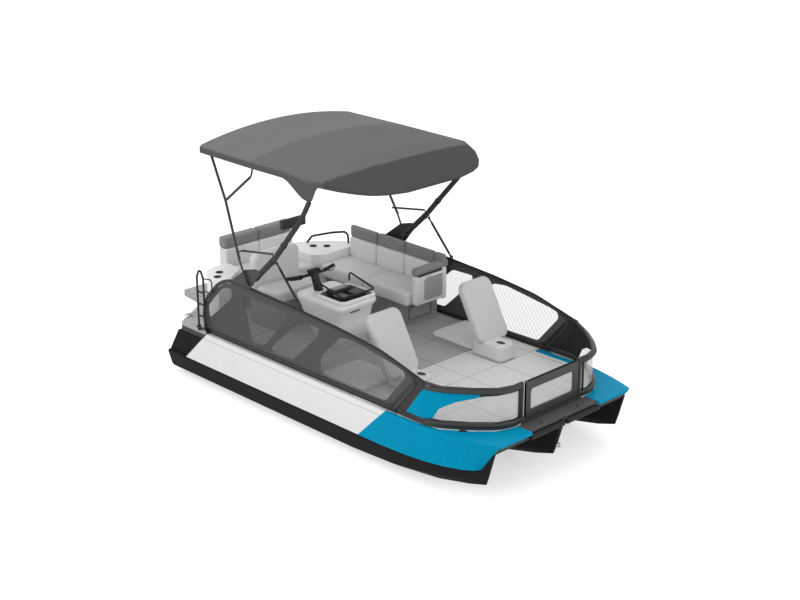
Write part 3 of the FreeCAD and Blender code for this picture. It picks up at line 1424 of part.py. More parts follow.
def nozzle():
    front = float(nozzle_axis + nozzle_lead)
    wall = float(nozzle_round - nozzle_bore)
    mid = float(nozzle_axis) - float(nozzle_lead) * 2.3
    end = front - float(nozzle_long)
    profile = [(front, nozzle_bore), (front, nozzle_round), (mid, nozzle_round),
               (end, float(nozzle_exit) + wall), (end, nozzle_exit), (mid, nozzle_bore)]
    whole = turned(profile, jet_z)
    low = float(nozzle_bore + seat_gap * 5)
    tall = float(ear_gap - seat_gap) - low
    for side in (-1, 1):
        foot = Vector(float(nozzle_axis), 0, float(jet_z) + side * low)
        whole = whole.fuse(Part.makeCylinder(float(ear_half) * 0.92, tall, foot, Vector(0, 0, side)))
    return whole


finish(made_of(nozzle()), "steering_nozzle")

gate_low_angle, gate_high_angle = named(gate_low_angle=8, gate_high_angle=62)
lap, heel_back, heel_rise, heel_fall = named(
    gate_arm_lap=2, gate_heel_back=10, gate_heel_rise=18, gate_heel_fall=14)


def reverse_gate():
    hinge = Vector(-float(gate_hinge_x), 0, float(gate_hinge_z))
    low = math.radians(float(gate_low_angle))
    high = math.radians(float(gate_high_angle))
    inner = float(gate_reach)
    outer = inner + float(gate_shell)

    def on_arc(radius, angle):
        return hinge.add(Vector(-radius * math.cos(angle), 0, radius * math.sin(angle)))

    middle = (low + high) / 2
    outer_arc = Part.Arc(on_arc(outer, low), on_arc(outer, middle), on_arc(outer, high)).toShape()
    inner_arc = Part.Arc(on_arc(inner, high), on_arc(inner, middle), on_arc(inner, low)).toShape()
    ends = [Part.LineSegment(on_arc(outer, high), on_arc(inner, high)).toShape(),
            Part.LineSegment(on_arc(inner, low), on_arc(outer, low)).toShape()]
    rim = Part.Wire([outer_arc, ends[0], inner_arc, ends[1]])
    half = float(gate_arm_y + gate_arm_thick)
    shell = Part.Face(rim).extrude(Vector(0, 2 * half, 0))
    shell.translate(Vector(0, -half, 0))
    edge_reach = outer - float(lap)
    arm_corners = [on_arc(edge_reach, low), on_arc(edge_reach, middle), on_arc(edge_reach, high),
                   hinge.add(Vector(float(heel_back), 0, float(heel_rise))),
                   hinge.add(Vector(float(heel_back), 0, -float(heel_fall)))]
    solids = [shell]
    for side in (-1, 1):
        arm = Part.Face(section(arm_corners)).extrude(
            Vector(0, float(gate_arm_thick), 0))
        arm.translate(Vector(0, float(gate_arm_y) if side > 0 else -half, 0))
        solids.append(arm)
    return solids[0].fuse(solids[1:])


finish(made_of(reverse_gate()), "reverse_gate")

# The boarding ladder, stowed upright at the fence's aft end, with a hand loop at its top
ladder_x, ladder_wide, ladder_y, ladder_tall = named(
    ladder_x=-1475, ladder_width=112, ladder_y=1185, ladder_height=700)
ladder_round, ladder_foot, ladder_peak = named(
    ladder_tube_radius=12, ladder_hinge_height=695, ladder_peak=110)
loop_reach, loop_drop, loop_foot = named(hand_loop_reach=150, hand_loop_drop=85, hand_loop_foot=250)
rung_shares = (0.0, 0.2, 0.4, 0.6)


def ladder():
    y = -float(ladder_y)
    low = float(ladder_foot)
    half = float(ladder_wide) / 2
    mid = float(ladder_x)
    high = low + float(ladder_tall)
    shoulder = high - float(ladder_peak)
    line = [Vector(mid - half, y, low), Vector(mid - half, y, shoulder),
            Vector(mid, y, high), Vector(mid + half, y, shoulder), Vector(mid + half, y, low)]
    whole = tube(line, ladder_round, frame_bend)
    rungs = []
    for share in rung_shares:
        z = low + float(ladder_tall) * share
        rungs.append(rod(Vector(mid - half, y, z), Vector(mid + half, y, z), ladder_round * 0.9))
    reach = mid + half + float(loop_reach)
    loop = tube([Vector(mid + half, y, shoulder), Vector(reach, y, high - float(loop_drop)),
                 Vector(reach, y, high - float(loop_foot)), Vector(mid + half, y, high - float(loop_foot))],
                ladder_round * 0.6, frame_bend * 0.6)
    return whole.fuse(rungs + [loop])


finish(made_of(ladder()), "boarding_ladder")

mount_thick, mount_reach, mount_foot, mount_head = named(
    ladder_mount_thickness=10, ladder_mount_reach=16, ladder_mount_foot=1112, ladder_mount_head=1150)


def ladder_mounts():
    """The two lugs on the deck's edge that carry the ladder's lower ends."""
    lugs = []
    offset = float(ladder_wide / 2 + ladder_round + seat_gap)
    low = float(foot_low)
    for side in (-1, 1):
        near = float(ladder_x) + side * offset
        far = near + side * float(mount_thick)
        x_low, x_high = sorted([near, far])
        plate = box(Vector(x_low, -float(ladder_y), low),
                    Vector(x_high, -float(mount_head), float(ladder_foot + mount_reach)))
        nose = Part.makeCylinder(float(mount_reach), float(mount_thick),
                                 Vector(x_low, -float(ladder_y), float(ladder_foot)),
                                 Vector(1, 0, 0))
        pad = box(Vector(x_low - float(mount_reach), -float(mount_head + mount_thick), low),
                  Vector(x_high + float(mount_reach), -float(mount_foot),
                         low + float(mount_thick) / 2))
        lugs.append(plate.fuse([nose, pad]))
    return Part.makeCompound(lugs)


finish(made_of(ladder_mounts()), "ladder_mounts")

doc.recompute()
for thing in doc.Objects:
    if "Invalid" in thing.State or "Error" in thing.State:
        raise ValueError(f"{thing.Name} {thing.Label} failed: {thing.State}")
for thing in finished:
    if thing.Shape.isNull() or not thing.Shape.isValid():
        raise ValueError(f"{thing.Label} has no valid shape")
for thing in finished:
    thing.Shape.exportStep(f"parts/{thing.Label}.step")
print("wrote", len(finished), "sub-parts")
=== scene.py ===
# A three-hull jet pontoon boat with its bimini up, dressed for a plain studio picture.
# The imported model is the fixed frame; the new pieces are made from the formulas below.
import math

import bmesh
import bpy
import numpy as np
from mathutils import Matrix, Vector


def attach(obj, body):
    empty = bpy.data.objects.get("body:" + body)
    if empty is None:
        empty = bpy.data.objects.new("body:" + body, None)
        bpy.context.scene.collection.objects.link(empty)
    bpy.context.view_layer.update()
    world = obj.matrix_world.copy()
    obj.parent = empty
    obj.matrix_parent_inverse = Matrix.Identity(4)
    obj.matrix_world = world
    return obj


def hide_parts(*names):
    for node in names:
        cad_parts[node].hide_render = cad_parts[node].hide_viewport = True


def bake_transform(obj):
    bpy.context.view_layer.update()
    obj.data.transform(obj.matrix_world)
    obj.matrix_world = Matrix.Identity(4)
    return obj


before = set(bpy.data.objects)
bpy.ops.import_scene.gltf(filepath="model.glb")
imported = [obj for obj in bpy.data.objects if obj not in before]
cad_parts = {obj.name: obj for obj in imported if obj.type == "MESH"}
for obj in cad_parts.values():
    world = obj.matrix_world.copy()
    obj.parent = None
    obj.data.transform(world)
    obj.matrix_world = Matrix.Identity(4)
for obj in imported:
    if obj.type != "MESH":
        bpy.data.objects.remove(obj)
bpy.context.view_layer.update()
scene = bpy.context.scene

# ---- Camera: a long lens from the starboard bow, above the rails. It looks along its own -Z
# axis from its place to the aim, with +Y up in the picture ----
CAMERA_PLACE = (11.529, -10.833, 7.031)
CAMERA_AIM = (0.4239, 0.0, 1.2236)
LENS_MM, SENSOR_MM = 70.585, 36.0
SIGHT_LIMIT = 200.0
camera_data = bpy.data.cameras.new("photo_camera")
camera_data.lens = LENS_MM
camera_data.sensor_width = SENSOR_MM
camera_data.clip_end = SIGHT_LIMIT
camera = bpy.data.objects.new("photo_camera", camera_data)
scene.collection.objects.link(camera)
camera.location = CAMERA_PLACE
camera.rotation_mode = "QUATERNION"
camera.rotation_quaternion = Vector(
    np.array(CAMERA_AIM) - np.array(CAMERA_PLACE)).to_track_quat("-Z", "Y")
scene.camera = camera

# ---- Studio: a white floor in white surroundings. One broad soft lamp hangs overhead, and two
# more stand off the starboard side and off the bow ----


def linear(code):
    """The linear colour of an sRGB hex code, with full alpha: c / 12.92 up to 0.04045, and
    (c + 0.055) / 1.055 to the power 2.4 above it."""
    values = np.array([int(code[i:i + 2], 16) for i in (1, 3, 5)]) / 255.0
    low = values / 12.92
    high = ((values + 0.055) / 1.055) ** 2.4
    return (*np.where(values <= 0.04045, low, high).tolist(), 1.0)


def add_node(tree, kind, inputs=None, **settings):
    """Adds a shader node with its settings; an input is a value or another node's socket."""
    made = tree.nodes.new("ShaderNode" + kind)
    for key, value in settings.items():
        setattr(made, key, value)
    for key, value in (inputs or {}).items():
        if isinstance(value, bpy.types.NodeSocket):
            tree.links.new(value, made.inputs[key])
        else:
            made.inputs[key].default_value = value
    return made


def blank_material(name):
    """An empty node material, its tree and its output."""
    made = bpy.data.materials.new(name)
    made.use_nodes = True
    made.node_tree.nodes.clear()
    out = add_node(made.node_tree, "OutputMaterial")
    return made, made.node_tree, out


def seen_directly(tree):
    """1 for a ray from the camera, off a gloss surface or through a clear one, and 0 for the
    rest: the greatest of the three ray flags."""
    rays = add_node(tree, "LightPath")
    seen = add_node(tree, "Math", {0: rays.outputs["Is Camera Ray"],
                                   1: rays.outputs["Is Glossy Ray"]}, operation="MAXIMUM")
    return add_node(tree, "Math", {0: seen.outputs[0], 1: rays.outputs["Is Transmission Ray"]},
                    operation="MAXIMUM").outputs[0]


# The surroundings look pure white but light the boat a little less than that
STUDIO_FILL = 0.90
world = bpy.data.worlds.new("white_studio")
scene.world = world
world.use_nodes = True
sky = world.node_tree
sky.nodes.clear()
light = add_node(sky, "Background", {"Color": linear("#FFFFFF"), "Strength": STUDIO_FILL})
white = add_node(sky, "Background", {"Color": linear("#FFFFFF"), "Strength": 1.0})
both = add_node(sky, "MixShader", {0: seen_directly(sky), 1: light.outputs[0],
                                   2: white.outputs[0]})
add_node(sky, "OutputWorld", {"Surface": both.outputs[0]})

LAMPS = (  # name, place, aim, width of its disc, watts
    ("overhead", (-1.0, -2.0, 9.0), (0.0, 0.0, 0.5), 7.0, 128.0),
    ("starboard_side", (1.5, -9.0, 4.2), (-0.3, 0.0, 1.0), 6.0, 185.0),
    ("bow_side", (9.5, 2.0, 4.5), (0.0, 0.0, 1.0), 5.0, 138.0),
)
for lamp_name, place, target, width, watts in LAMPS:
    lamp_data = bpy.data.lights.new(lamp_name, "AREA")
    lamp_data.shape = "DISK"
    lamp_data.size = width
    lamp_data.energy = watts
    lamp = bpy.data.objects.new(lamp_name, lamp_data)
    scene.collection.objects.link(lamp)
    lamp.location = place
    lamp.rotation_mode = "QUATERNION"
    lamp.rotation_quaternion = (Vector(target) - Vector(place)).to_track_quat("-Z", "Y")
scene.view_settings.view_transform = "Standard"


def make_mesh(name, points, faces):
    """An object at the origin whose mesh has these points and faces."""
    mesh = bpy.data.meshes.new(name)
    mesh.from_pydata(np.asarray(points, float).reshape(-1, 3).tolist(), [],
                     [list(map(int, face)) for face in faces])
    mesh.validate()
    thing = bpy.data.objects.new(name, mesh)
    scene.collection.objects.link(thing)
    return thing


# Matt white paint: it spreads the light evenly, keeps a soft shadow under the hulls, and a
# little light of its own, seen only directly, joins it to the white surroundings
FLOOR_HALF = 60.0
FLOOR_LIFT = 0.56
floor_corners = np.array([(-1, -1, 0), (1, -1, 0), (1, 1, 0), (-1, 1, 0)]) * FLOOR_HALF
floor = make_mesh("studio_floor", floor_corners, [(0, 1, 2, 3)])
floor_paint, tree, out = blank_material("matt white floor paint")
lift = add_node(tree, "Math", {0: seen_directly(tree), 1: FLOOR_LIFT}, operation="MULTIPLY")
matt = add_node(tree, "BsdfDiffuse", {"Color": linear("#DCDCDC")})
glow = add_node(tree, "Emission", {"Color": linear("#FFFFFF"), "Strength": lift.outputs[0]})
total = add_node(tree, "AddShader", {0: matt.outputs[0], 1: glow.outputs[0]})
tree.links.new(total.outputs[0], out.inputs["Surface"])
floor.data.materials.append(floor_paint)

# ---- Hulls: a centre hull and two outer pontoons, rotomoulded in one piece each of black
# polyethylene and bolted up under the bridge deck ----
MM_PER_M = 1000.0
SHINE_DRIFT = 0.06


def grained(name, colour, second, rough, grain_mm, depth_mm, blotch_mm=120.0, metallic=0.0,
            coat=0.0, specular=0.35):
    """A one-colour finish. Broad noise drifts the colour between two near tones, and the
    roughness by SHINE_DRIFT either way; fine noise of the grain's size, in millimetres,
    raises the bump by its depth."""
    made, tree, out = blank_material(name)
    place = add_node(tree, "TexCoord").outputs["Object"]
    broad = add_node(tree, "TexNoise", {"Vector": place, "Scale": MM_PER_M / blotch_mm,
                                        "Detail": 3.0})
    fine = add_node(tree, "TexNoise", {"Vector": place, "Scale": MM_PER_M / grain_mm,
                                       "Detail": 2.0})
    tone = add_node(tree, "MixRGB", {"Fac": broad.outputs["Fac"], "Color1": linear(colour),
                                     "Color2": linear(second)})
    shine = add_node(tree, "MapRange", {"Value": broad.outputs["Fac"],
                                        "To Min": rough - SHINE_DRIFT,
                                        "To Max": rough + SHINE_DRIFT})
    relief = add_node(tree, "Bump", {"Height": fine.outputs["Fac"],
                                     "Distance": depth_mm / MM_PER_M, "Strength": 1.0})
    shader = add_node(tree, "BsdfPrincipled", {
        "Base Color": tone.outputs["Color"], "Roughness": shine.outputs["Result"],
        "Normal": relief.outputs["Normal"], "Metallic": metallic, "Coat Weight": coat,
        "Specular IOR Level": specular})
    tree.links.new(shader.outputs[0], out.inputs["Surface"])
    return made


def dress(material, *names):
    """Gives CAD nodes this material."""
    for node_name in names:
        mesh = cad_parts[node_name].data
        mesh.materials.clear()
        mesh.materials.append(material)


# Polyethylene as it leaves the mould: matt and near black, with a 5 mm orange peel that
# breaks up the lamps' reflections
hull_moulding = grained("black rotomoulded polyethylene", "#111112", "#171718", 0.7, 5.0, 0.25,
                        specular=0.12)
dress(hull_moulding, "centre_hull", "pontoon_port", "pontoon_starboard")

# ---- Side panels and bow fairings: vacuum-formed ABS skins, white along the sides and blue
# round the bow, screwed up under the deck's edge, with one moulded crease along each, drawn
# as a line of painted shade ----
# Gloss sheet: clean broad highlights over a long gentle waviness that forming leaves
white_skin = grained("gloss white ABS", "#DEDEDE", "#DADADA", 0.26, 40.0, 0.05, 600.0)
blue_skin = grained("gloss blue ABS", "#0088AE", "#0090B6", 0.36, 40.0, 0.05, 500.0,
                    specular=0.03)
dress(white_skin, "side_panels")
dress(blue_skin, "bow_fairings")


def score(material, mask, colour):
    """Draws a line on a finish: its own colour turns to the line's as the mask goes to 1."""
    tree = material.node_tree
    shader = next(n for n in tree.nodes if n.type == "BSDF_PRINCIPLED")
    tone = shader.inputs["Base Color"].links[0].from_socket
    shade = add_node(tree, "MixRGB", {"Fac": mask, "Color1": tone, "Color2": linear(colour)})
    tree.links.new(shade.outputs["Color"], shader.inputs["Base Color"])


# The crease is not shaped: a darker line at its height on each skin is painted shade
CREASE_Z, CREASE_HALF = 0.578, 0.006
for skin, crease_shade_share, crease_shade_colour in ((white_skin, 0.35, "#7A8084"),
                                          (blue_skin, 0.25, "#006080")):
    tree = skin.node_tree
    spot = add_node(tree, "SeparateXYZ", {"Vector": add_node(tree, "TexCoord").outputs["Object"]})
    crease = add_node(tree, "Math", {0: spot.outputs["Z"], 1: CREASE_Z, 2: CREASE_HALF},
                      operation="COMPARE")
    crease_shade = add_node(tree, "Math", {0: crease.outputs[0], 1: crease_shade_share}, operation="MULTIPLY")
    score(skin, crease_shade.outputs[0], crease_shade_colour)

# ---- Decks: grey studded rubber glued down aft and on the swim platform, and pale moulded
# tiles laid at the bow, both with dark joints, on a black-coated aluminium bridge deck ----
TILE = 0.480
TILE_START_X = 1.420
JOINT_HALF = 0.003
# Powder coat on plate: satin and almost black. Rubber: quite matt, its 4 mm studs soften the
# light. Moulded tile: pale and matt, with a fine stipple for grip
deck_plate = grained("black powder-coated plate", "#232323", "#2B2A2A", 0.5, 2.0, 0.15)
deck_rubber = grained("grey studded rubber", "#A2A2A2", "#ACACAC", 0.7, 4.0, 0.4, 300.0)
deck_tile = grained("pale grey deck moulding", "#D8D7D5", "#D0CFCD", 0.6, 3.0, 0.3, 400.0)
dress(deck_plate, "bridge_deck")
dress(deck_rubber, "deck_aft", "swim_platform")
dress(deck_tile, "deck_bow")
for deck, joint_colour in ((deck_tile, "#77736F"), (deck_rubber, "#4E4E4E")):
    tree = deck.node_tree
    spot = add_node(tree, "SeparateXYZ", {"Vector": add_node(tree, "TexCoord").outputs["Object"]})
    bands = []
    for axis, start in (("X", TILE_START_X), ("Y", 0.0)):
        shifted = add_node(tree, "Math", {0: spot.outputs[axis], 1: start - TILE / 2},
                           operation="SUBTRACT")
        cell = add_node(tree, "Math", {0: shifted.outputs[0], 1: TILE},
                        operation="FLOORED_MODULO")
        bands.append(add_node(tree, "Math", {0: cell.outputs[0], 1: TILE / 2, 2: JOINT_HALF},
                              operation="COMPARE").outputs[0])
    joint = add_node(tree, "Math", {0: bands[0], 1: bands[1]}, operation="MAXIMUM")
    score(deck, joint.outputs[0], joint_colour)

# ---- Rails, posts and bimini frame: round aluminium tube, bent cold, welded at the joints
# and powder-coated dark grey ----
# Powder coat on tube: satin, so one long soft highlight runs along each tube
rail_coat = grained("dark powder-coated aluminium", "#2A2828", "#343231", 0.42, 1.5, 0.08)
dress(rail_coat, "fence_frame_port", "fence_frame_starboard", "bow_rails", "gate_posts",
      "gate_frame", "bimini_brackets", "main_bow", "aft_bow", "aft_poles", "front_struts",
      "brace_links")

# ---- Black fittings: the windscreen loop, handlebar and its boot, stern grab rail, mirror
# and boarding ladder, moulded in nylon or sleeved in it, screwed to deck and rails ----
# Moulded nylon: black with a fine grain and a dull sheen
black_trim = grained("black moulded nylon", "#121212", "#181818", 0.45, 2.0, 0.12)
dress(black_trim, "windscreen", "handlebar", "steering_boot", "stern_grab_rail", "mirror",
      "boarding_ladder", "ladder_mounts")

# ---- Bumper, cleats and eyes: an extruded rubber bumper pressed on to the bow step's edge,
# and stainless cleats and eyes bolted through the deck ----
# Rubber: black and dull, with no clear highlight. Polished steel: bright, nearly a mirror
rubber = grained("black rubber", "#151515", "#1B1B1B", 0.75, 2.5, 0.2)
steel = grained("polished stainless steel", "#C4C4C4", "#B0B0B0", 0.2, 1.0, 0.02, metallic=1.0)
dress(rubber, "bow_bumper")
dress(steel, "deck_fittings")

# ---- Jet and engine: a sand-cast aluminium pump, nozzle and reverse bucket bolted to the
# centre hull's transom, and an iron engine block inside the hull ----
# Cast metal: dull grey, its sand grain scatters the light
alloy = grained("cast aluminium", "#8A8C8E", "#7C7E80", 0.5, 3.0, 0.3, metallic=0.8)
iron = grained("cast iron block", "#3A3A3A", "#2E2E2E", 0.6, 4.0, 0.3, metallic=0.4)
dress(alloy, "jet_pump", "impeller", "steering_nozzle", "reverse_gate")
dress(iron, "engine_block")

# ---- Seat bases and corner modules: grey rotomoulded bases screwed to the deck, and light
# grey moulded corner units with a gelcoat face ----
# Rotomoulding: plain grey with a dull sheen. Gelcoat: pale and glossy under a clear coat
base_moulding = grained("mid grey moulded base", "#8C8C8D", "#959596", 0.5, 2.0, 0.15)
console_moulding = grained("light grey gelcoat", "#EDEDED", "#E6E6E6", 0.3, 30.0, 0.05, 500.0,
                           coat=0.2)
dress(base_moulding, "lounge_base", "helm_base")
dress(console_moulding, "corner_module", "corner_tray")

# ---- Canopy: one sheet of grey acrylic canvas stretched over the bows. The visor is sewn on
# along a curved seam, the sides turn down to a hem, and a sleeve laps each front tube ----
AFT_EDGE_X, FRONT_BOW_X, VISOR_ROOT_X, VISOR_TIP_X = -1.508, 0.340, 0.360, 0.916
ROOF_STATIONS = np.array([  # x, half width, edge height, crown above it, hem drop
    (AFT_EDGE_X, 1.085, 2.745, 0.110, 0.085), (-0.650, 1.096, 2.745, 0.110, 0.085),
    (FRONT_BOW_X, 1.074, 2.745, 0.110, 0.085), (0.560, 0.985, 2.702, 0.070, 0.060),
    (0.720, 0.870, 2.661, 0.048, 0.038), (0.815, 0.760, 2.635, 0.032, 0.026),
    (0.880, 0.600, 2.617, 0.018, 0.021), (VISOR_TIP_X, 0.380, 2.607, 0.008, 0.021)])
BOW_PLACES = (-1.390, -0.650, FRONT_BOW_X)
SLACK = 0.014
SLEEVE_DROP, SLEEVE_FLARE = 0.155, 0.030
SLEEVE_RISE, SLEEVE_FALL = (-0.18, 0.24), (0.295, 0.36)
EDGE_ROLL = 0.030
CANVAS_THICK = 0.004
VISOR_SEAM_X, VISOR_SEAM_BOW, SEAM_BLUR = 0.40, 0.10, 0.015
# A wave texture of scale 1 draws bands about this wide, in millimetres, with gaps as wide
BAND_MM = MM_PER_M / 6.28


def smooth_step(value, start, end):
    """Rises from 0 at start to 1 at end as 3t^2 - 2t^3."""
    share = np.clip((value - start) / (end - start), 0.0, 1.0)
    return share * share * (3.0 - 2.0 * share)


def woven(name, colour, second, thread_mm, rough, dark=None):
    """A woven cloth: the product of two crossed sets of wave bands, each a thread wide with
    a gap as wide, makes the bump, and broad noise drifts the colour. Where dark is given,
    the attribute panel tints the cloth towards it as painted shade. The threads are 4 to 6
    mm wide, far coarser than real ones, so that they show."""
    made, tree, out = blank_material(name)
    place = add_node(tree, "TexCoord").outputs["Object"]
    broad = add_node(tree, "TexNoise", {"Vector": place, "Scale": 2.2, "Detail": 4.0})
    warp, weft = (add_node(tree, "TexWave", {"Vector": place, "Scale": BAND_MM / thread_mm},
                           bands_direction=way) for way in "XY")
    weave = add_node(tree, "Math", {0: warp.outputs["Fac"], 1: weft.outputs["Fac"]},
                     operation="MULTIPLY")
    shade = add_node(tree, "MixRGB", {"Fac": broad.outputs["Fac"], "Color1": linear(colour),
                                      "Color2": linear(second)}).outputs["Color"]
    if dark:
        panel = add_node(tree, "Attribute", attribute_name="panel")
        shade = add_node(tree, "MixRGB", {"Fac": panel.outputs["Fac"], "Color1": shade,
                                          "Color2": linear(dark)}).outputs["Color"]
    relief = add_node(tree, "Bump", {"Height": weave.outputs[0], "Distance": 0.0004,
                                     "Strength": 0.6})
    shader = add_node(tree, "BsdfPrincipled", {
        "Base Color": shade, "Roughness": rough, "Normal": relief.outputs["Normal"],
        "Specular IOR Level": 0.2})
    tree.links.new(shader.outputs[0], out.inputs["Surface"])
    return made


def grid_faces(rows, columns, closed=False):
    """Four-cornered faces between neighbours of a grid; closed joins its last column to its
    first."""
    index = np.arange(rows * columns).reshape(rows, columns)
    if closed:
        index = np.concatenate([index, index[:, :1]], axis=1)
    corners = [index[:-1, :-1], index[:-1, 1:], index[1:, 1:], index[1:, :-1]]
    return np.stack(corners, axis=-1).reshape(-1, 4)


# The roof is a parabola across the boat on each station, sagging by the slack as a squared
# sine between the bows, and it rolls over at its edge into the hem
along = np.concatenate([np.linspace(AFT_EDGE_X, FRONT_BOW_X, 62),
                        np.linspace(VISOR_ROOT_X, VISOR_TIP_X, 26)])[:, None]
half, edge, crown, hem = (np.interp(along, ROOF_STATIONS[:, 0], column)
                          for column in ROOF_STATIONS[:, 1:].T)
sag = np.zeros_like(along)
for first, last in zip(BOW_PLACES[:-1], BOW_PLACES[1:]):
    inside = (along > first) & (along < last)
    sag[inside] = SLACK * np.sin(np.pi * (along[inside] - first) / (last - first)) ** 2
sleeve = smooth_step(along, *SLEEVE_RISE) * (1.0 - smooth_step(along, *SLEEVE_FALL))
across = np.linspace(-1.0, 1.0, 41)[None, :]
down = np.linspace(0.0, 1.0, 9)[None, 1:]
y_roof = (half - EDGE_ROLL) * across
z_roof = edge + crown * (1.0 - across ** 2) - sag * (1.0 - across ** 6)
turned = np.sin(np.clip(down * 3.0, 0, 1) * np.pi / 2)
y_side = half - EDGE_ROLL * (1.0 - turned) + SLEEVE_FLARE * sleeve * down
z_side = edge - (hem * down + SLEEVE_DROP * sleeve * down ** 1.5)
y_all = np.concatenate([-y_side[:, ::-1], y_roof, y_side], axis=1)
z_all = np.concatenate([z_side[:, ::-1], z_roof, z_side], axis=1)
x_all = np.broadcast_to(along, y_all.shape)
# The visor's front edge turns down in three rows
tip_row, tip_low, tip_high = z_all[-1:], (edge - hem)[-1, 0], z_roof[-1].max()
for share in (0.2, 0.6, 1.0):
    x_all = np.concatenate([x_all, x_all[-1:] + 0.003 * (1 - share)])
    y_all = np.concatenate([y_all, y_all[-1:]])
    z_all = np.concatenate([z_all, np.minimum(tip_row, tip_low * share
                                              + tip_high * (1 - share))])
canopy_points = np.stack([x_all, y_all, z_all], axis=-1)
canopy_cloth = make_mesh("canopy_cloth", canopy_points, grid_faces(*x_all.shape)[:, ::-1])
# Acrylic canvas: matt, a deep even grey. The visor and the turned-down sides are painted a
# darker grey as shade, where they face away from the lamps, and the middle bay is painted a
# shade darker than the aft one
canvas = woven("grey acrylic canvas", "#6A6A6A", "#707070", 6.0, 0.85, dark="#444444")
seam_line = VISOR_SEAM_X + VISOR_SEAM_BOW * (1.0 - (y_all / 1.1) ** 2)
side_share = np.c_[down[:, ::-1], 0 * across, down]
middle_bay_shade = 0.30 * smooth_step(x_all, -0.70, -0.60)
visor = smooth_step(x_all, seam_line - SEAM_BLUR, seam_line + SEAM_BLUR)
painted_shade_share = np.maximum(np.maximum(middle_bay_shade, visor), 0.75 * smooth_step(side_share, 0.1, 0.35))
tint = canopy_cloth.data.attributes.new("panel", "FLOAT", "POINT")
tint.data.foreach_set("value", painted_shade_share.reshape(-1))
canopy_cloth.data.materials.append(canvas)
canopy_cloth.data.shade_smooth()
cloth_wall = canopy_cloth.modifiers.new("cloth_wall", "SOLIDIFY")
cloth_wall.thickness = CANVAS_THICK
cloth_wall.offset = -1.0
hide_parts("canopy")
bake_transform(canopy_cloth)

# ---- Fence cloth: dark grey coated fabric laced inside each side rail, with four mesh
# windows sewn in, whose corners are round ----
SIDES = ((1.0, "port"), (-1.0, "starboard"))
FENCE_Y = 1.132
RAIL_HALF = 0.019
CLOTH_HALF, MESH_HALF = 0.003, 0.0008
CLOTH_CORNER, OPENING_CORNER, MESH_CORNER = 0.085, 0.045, 0.05
SEWN_LAP = 0.006
FENCE_LINE = np.array([
    (-1.470, 0.678), (-1.502, 0.840), (-1.452, 1.025), (-1.215, 1.262), (-1.030, 1.345),
    (-0.650, 1.334), (0.0, 1.312), (0.740, 1.272), (1.320, 1.214), (1.854, 1.082), (1.510, 0.678)])
FENCE_WINDOWS = (
    [(-1.018, 1.272), (-0.968, 1.251), (-1.000, 1.151), (-1.396, 0.823), (-1.412, 0.971),
     (-1.149, 1.237)],
    [(-0.814, 1.246), (-0.057, 1.249), (-0.126, 1.113), (-0.491, 0.750), (-0.667, 0.739)],
    [(0.108, 1.207), (0.422, 1.214), (0.389, 1.112), (-0.013, 0.733), (-0.345, 0.725),
     (-0.350, 0.786)],
    [(0.722, 1.202), (0.914, 1.225), (1.634, 1.129), (1.661, 1.054), (1.382, 0.722),
     (0.454, 0.708), (0.418, 0.780), (0.429, 0.905)])
# The share of the light that the bow window's mesh stops between its threads, how much more
# it stops on them, and the same for the other windows, matched to the light on each side. The
# real mesh is the same on both sides: the starboard one is drawn denser as painted shade, and
# the port one thinner
MESH_DENSITY_AND_SHADE = {"port": (0.14, 0.09, 0.18, 0.03), "starboard": (0.32, 0.08, 0.30, 0.03)}


def rounded_loop(corners, radius, steps=7):
    """A closed outline with each corner cut back by the radius, at most 0.45 of its shorter
    run, and joined by a quadratic curve whose middle control point is the corner."""
    corners = np.asarray(corners, float)
    before = np.roll(corners, 1, axis=0) - corners
    after = np.roll(corners, -1, axis=0) - corners
    long_before = np.linalg.norm(before, axis=1, keepdims=True)
    long_after = np.linalg.norm(after, axis=1, keepdims=True)
    cut = np.minimum(radius, 0.45 * np.minimum(long_before, long_after))
    first = corners + before / long_before * cut
    last = corners + after / long_after * cut
    share = np.linspace(0.0, 1.0, steps)[None, :, None]
    curve = ((1 - share) ** 2 * first[:, None] + 2 * share * (1 - share) * corners[:, None]
             + share ** 2 * last[:, None])
    return curve.reshape(-1, 2)


def set_in(outline, inset):
    """The outline moved inwards by the inset along each corner's two edge normals."""
    outline = np.asarray(outline, float)
    run = np.roll(outline, -1, axis=0) - outline
    run /= np.linalg.norm(run, axis=1, keepdims=True)
    turn_sign = np.sign(np.sum(np.cross(outline, np.roll(outline, -1, axis=0))))
    normal = np.c_[-run[:, 1], run[:, 0]] * turn_sign
    both_ways = normal + np.roll(normal, 1, axis=0)
    scale = 2.0 / np.maximum((both_ways ** 2).sum(axis=1, keepdims=True), 0.5)
    return outline + both_ways * scale * inset


def close_and_face_out(thing):
    """Merges double points and turns every face outwards."""
    work = bmesh.new()
    work.from_mesh(thing.data)
    bmesh.ops.remove_doubles(work, verts=work.verts, dist=1e-5)
    bmesh.ops.recalc_face_normals(work, faces=work.faces)
    work.to_mesh(thing.data)
    work.free()


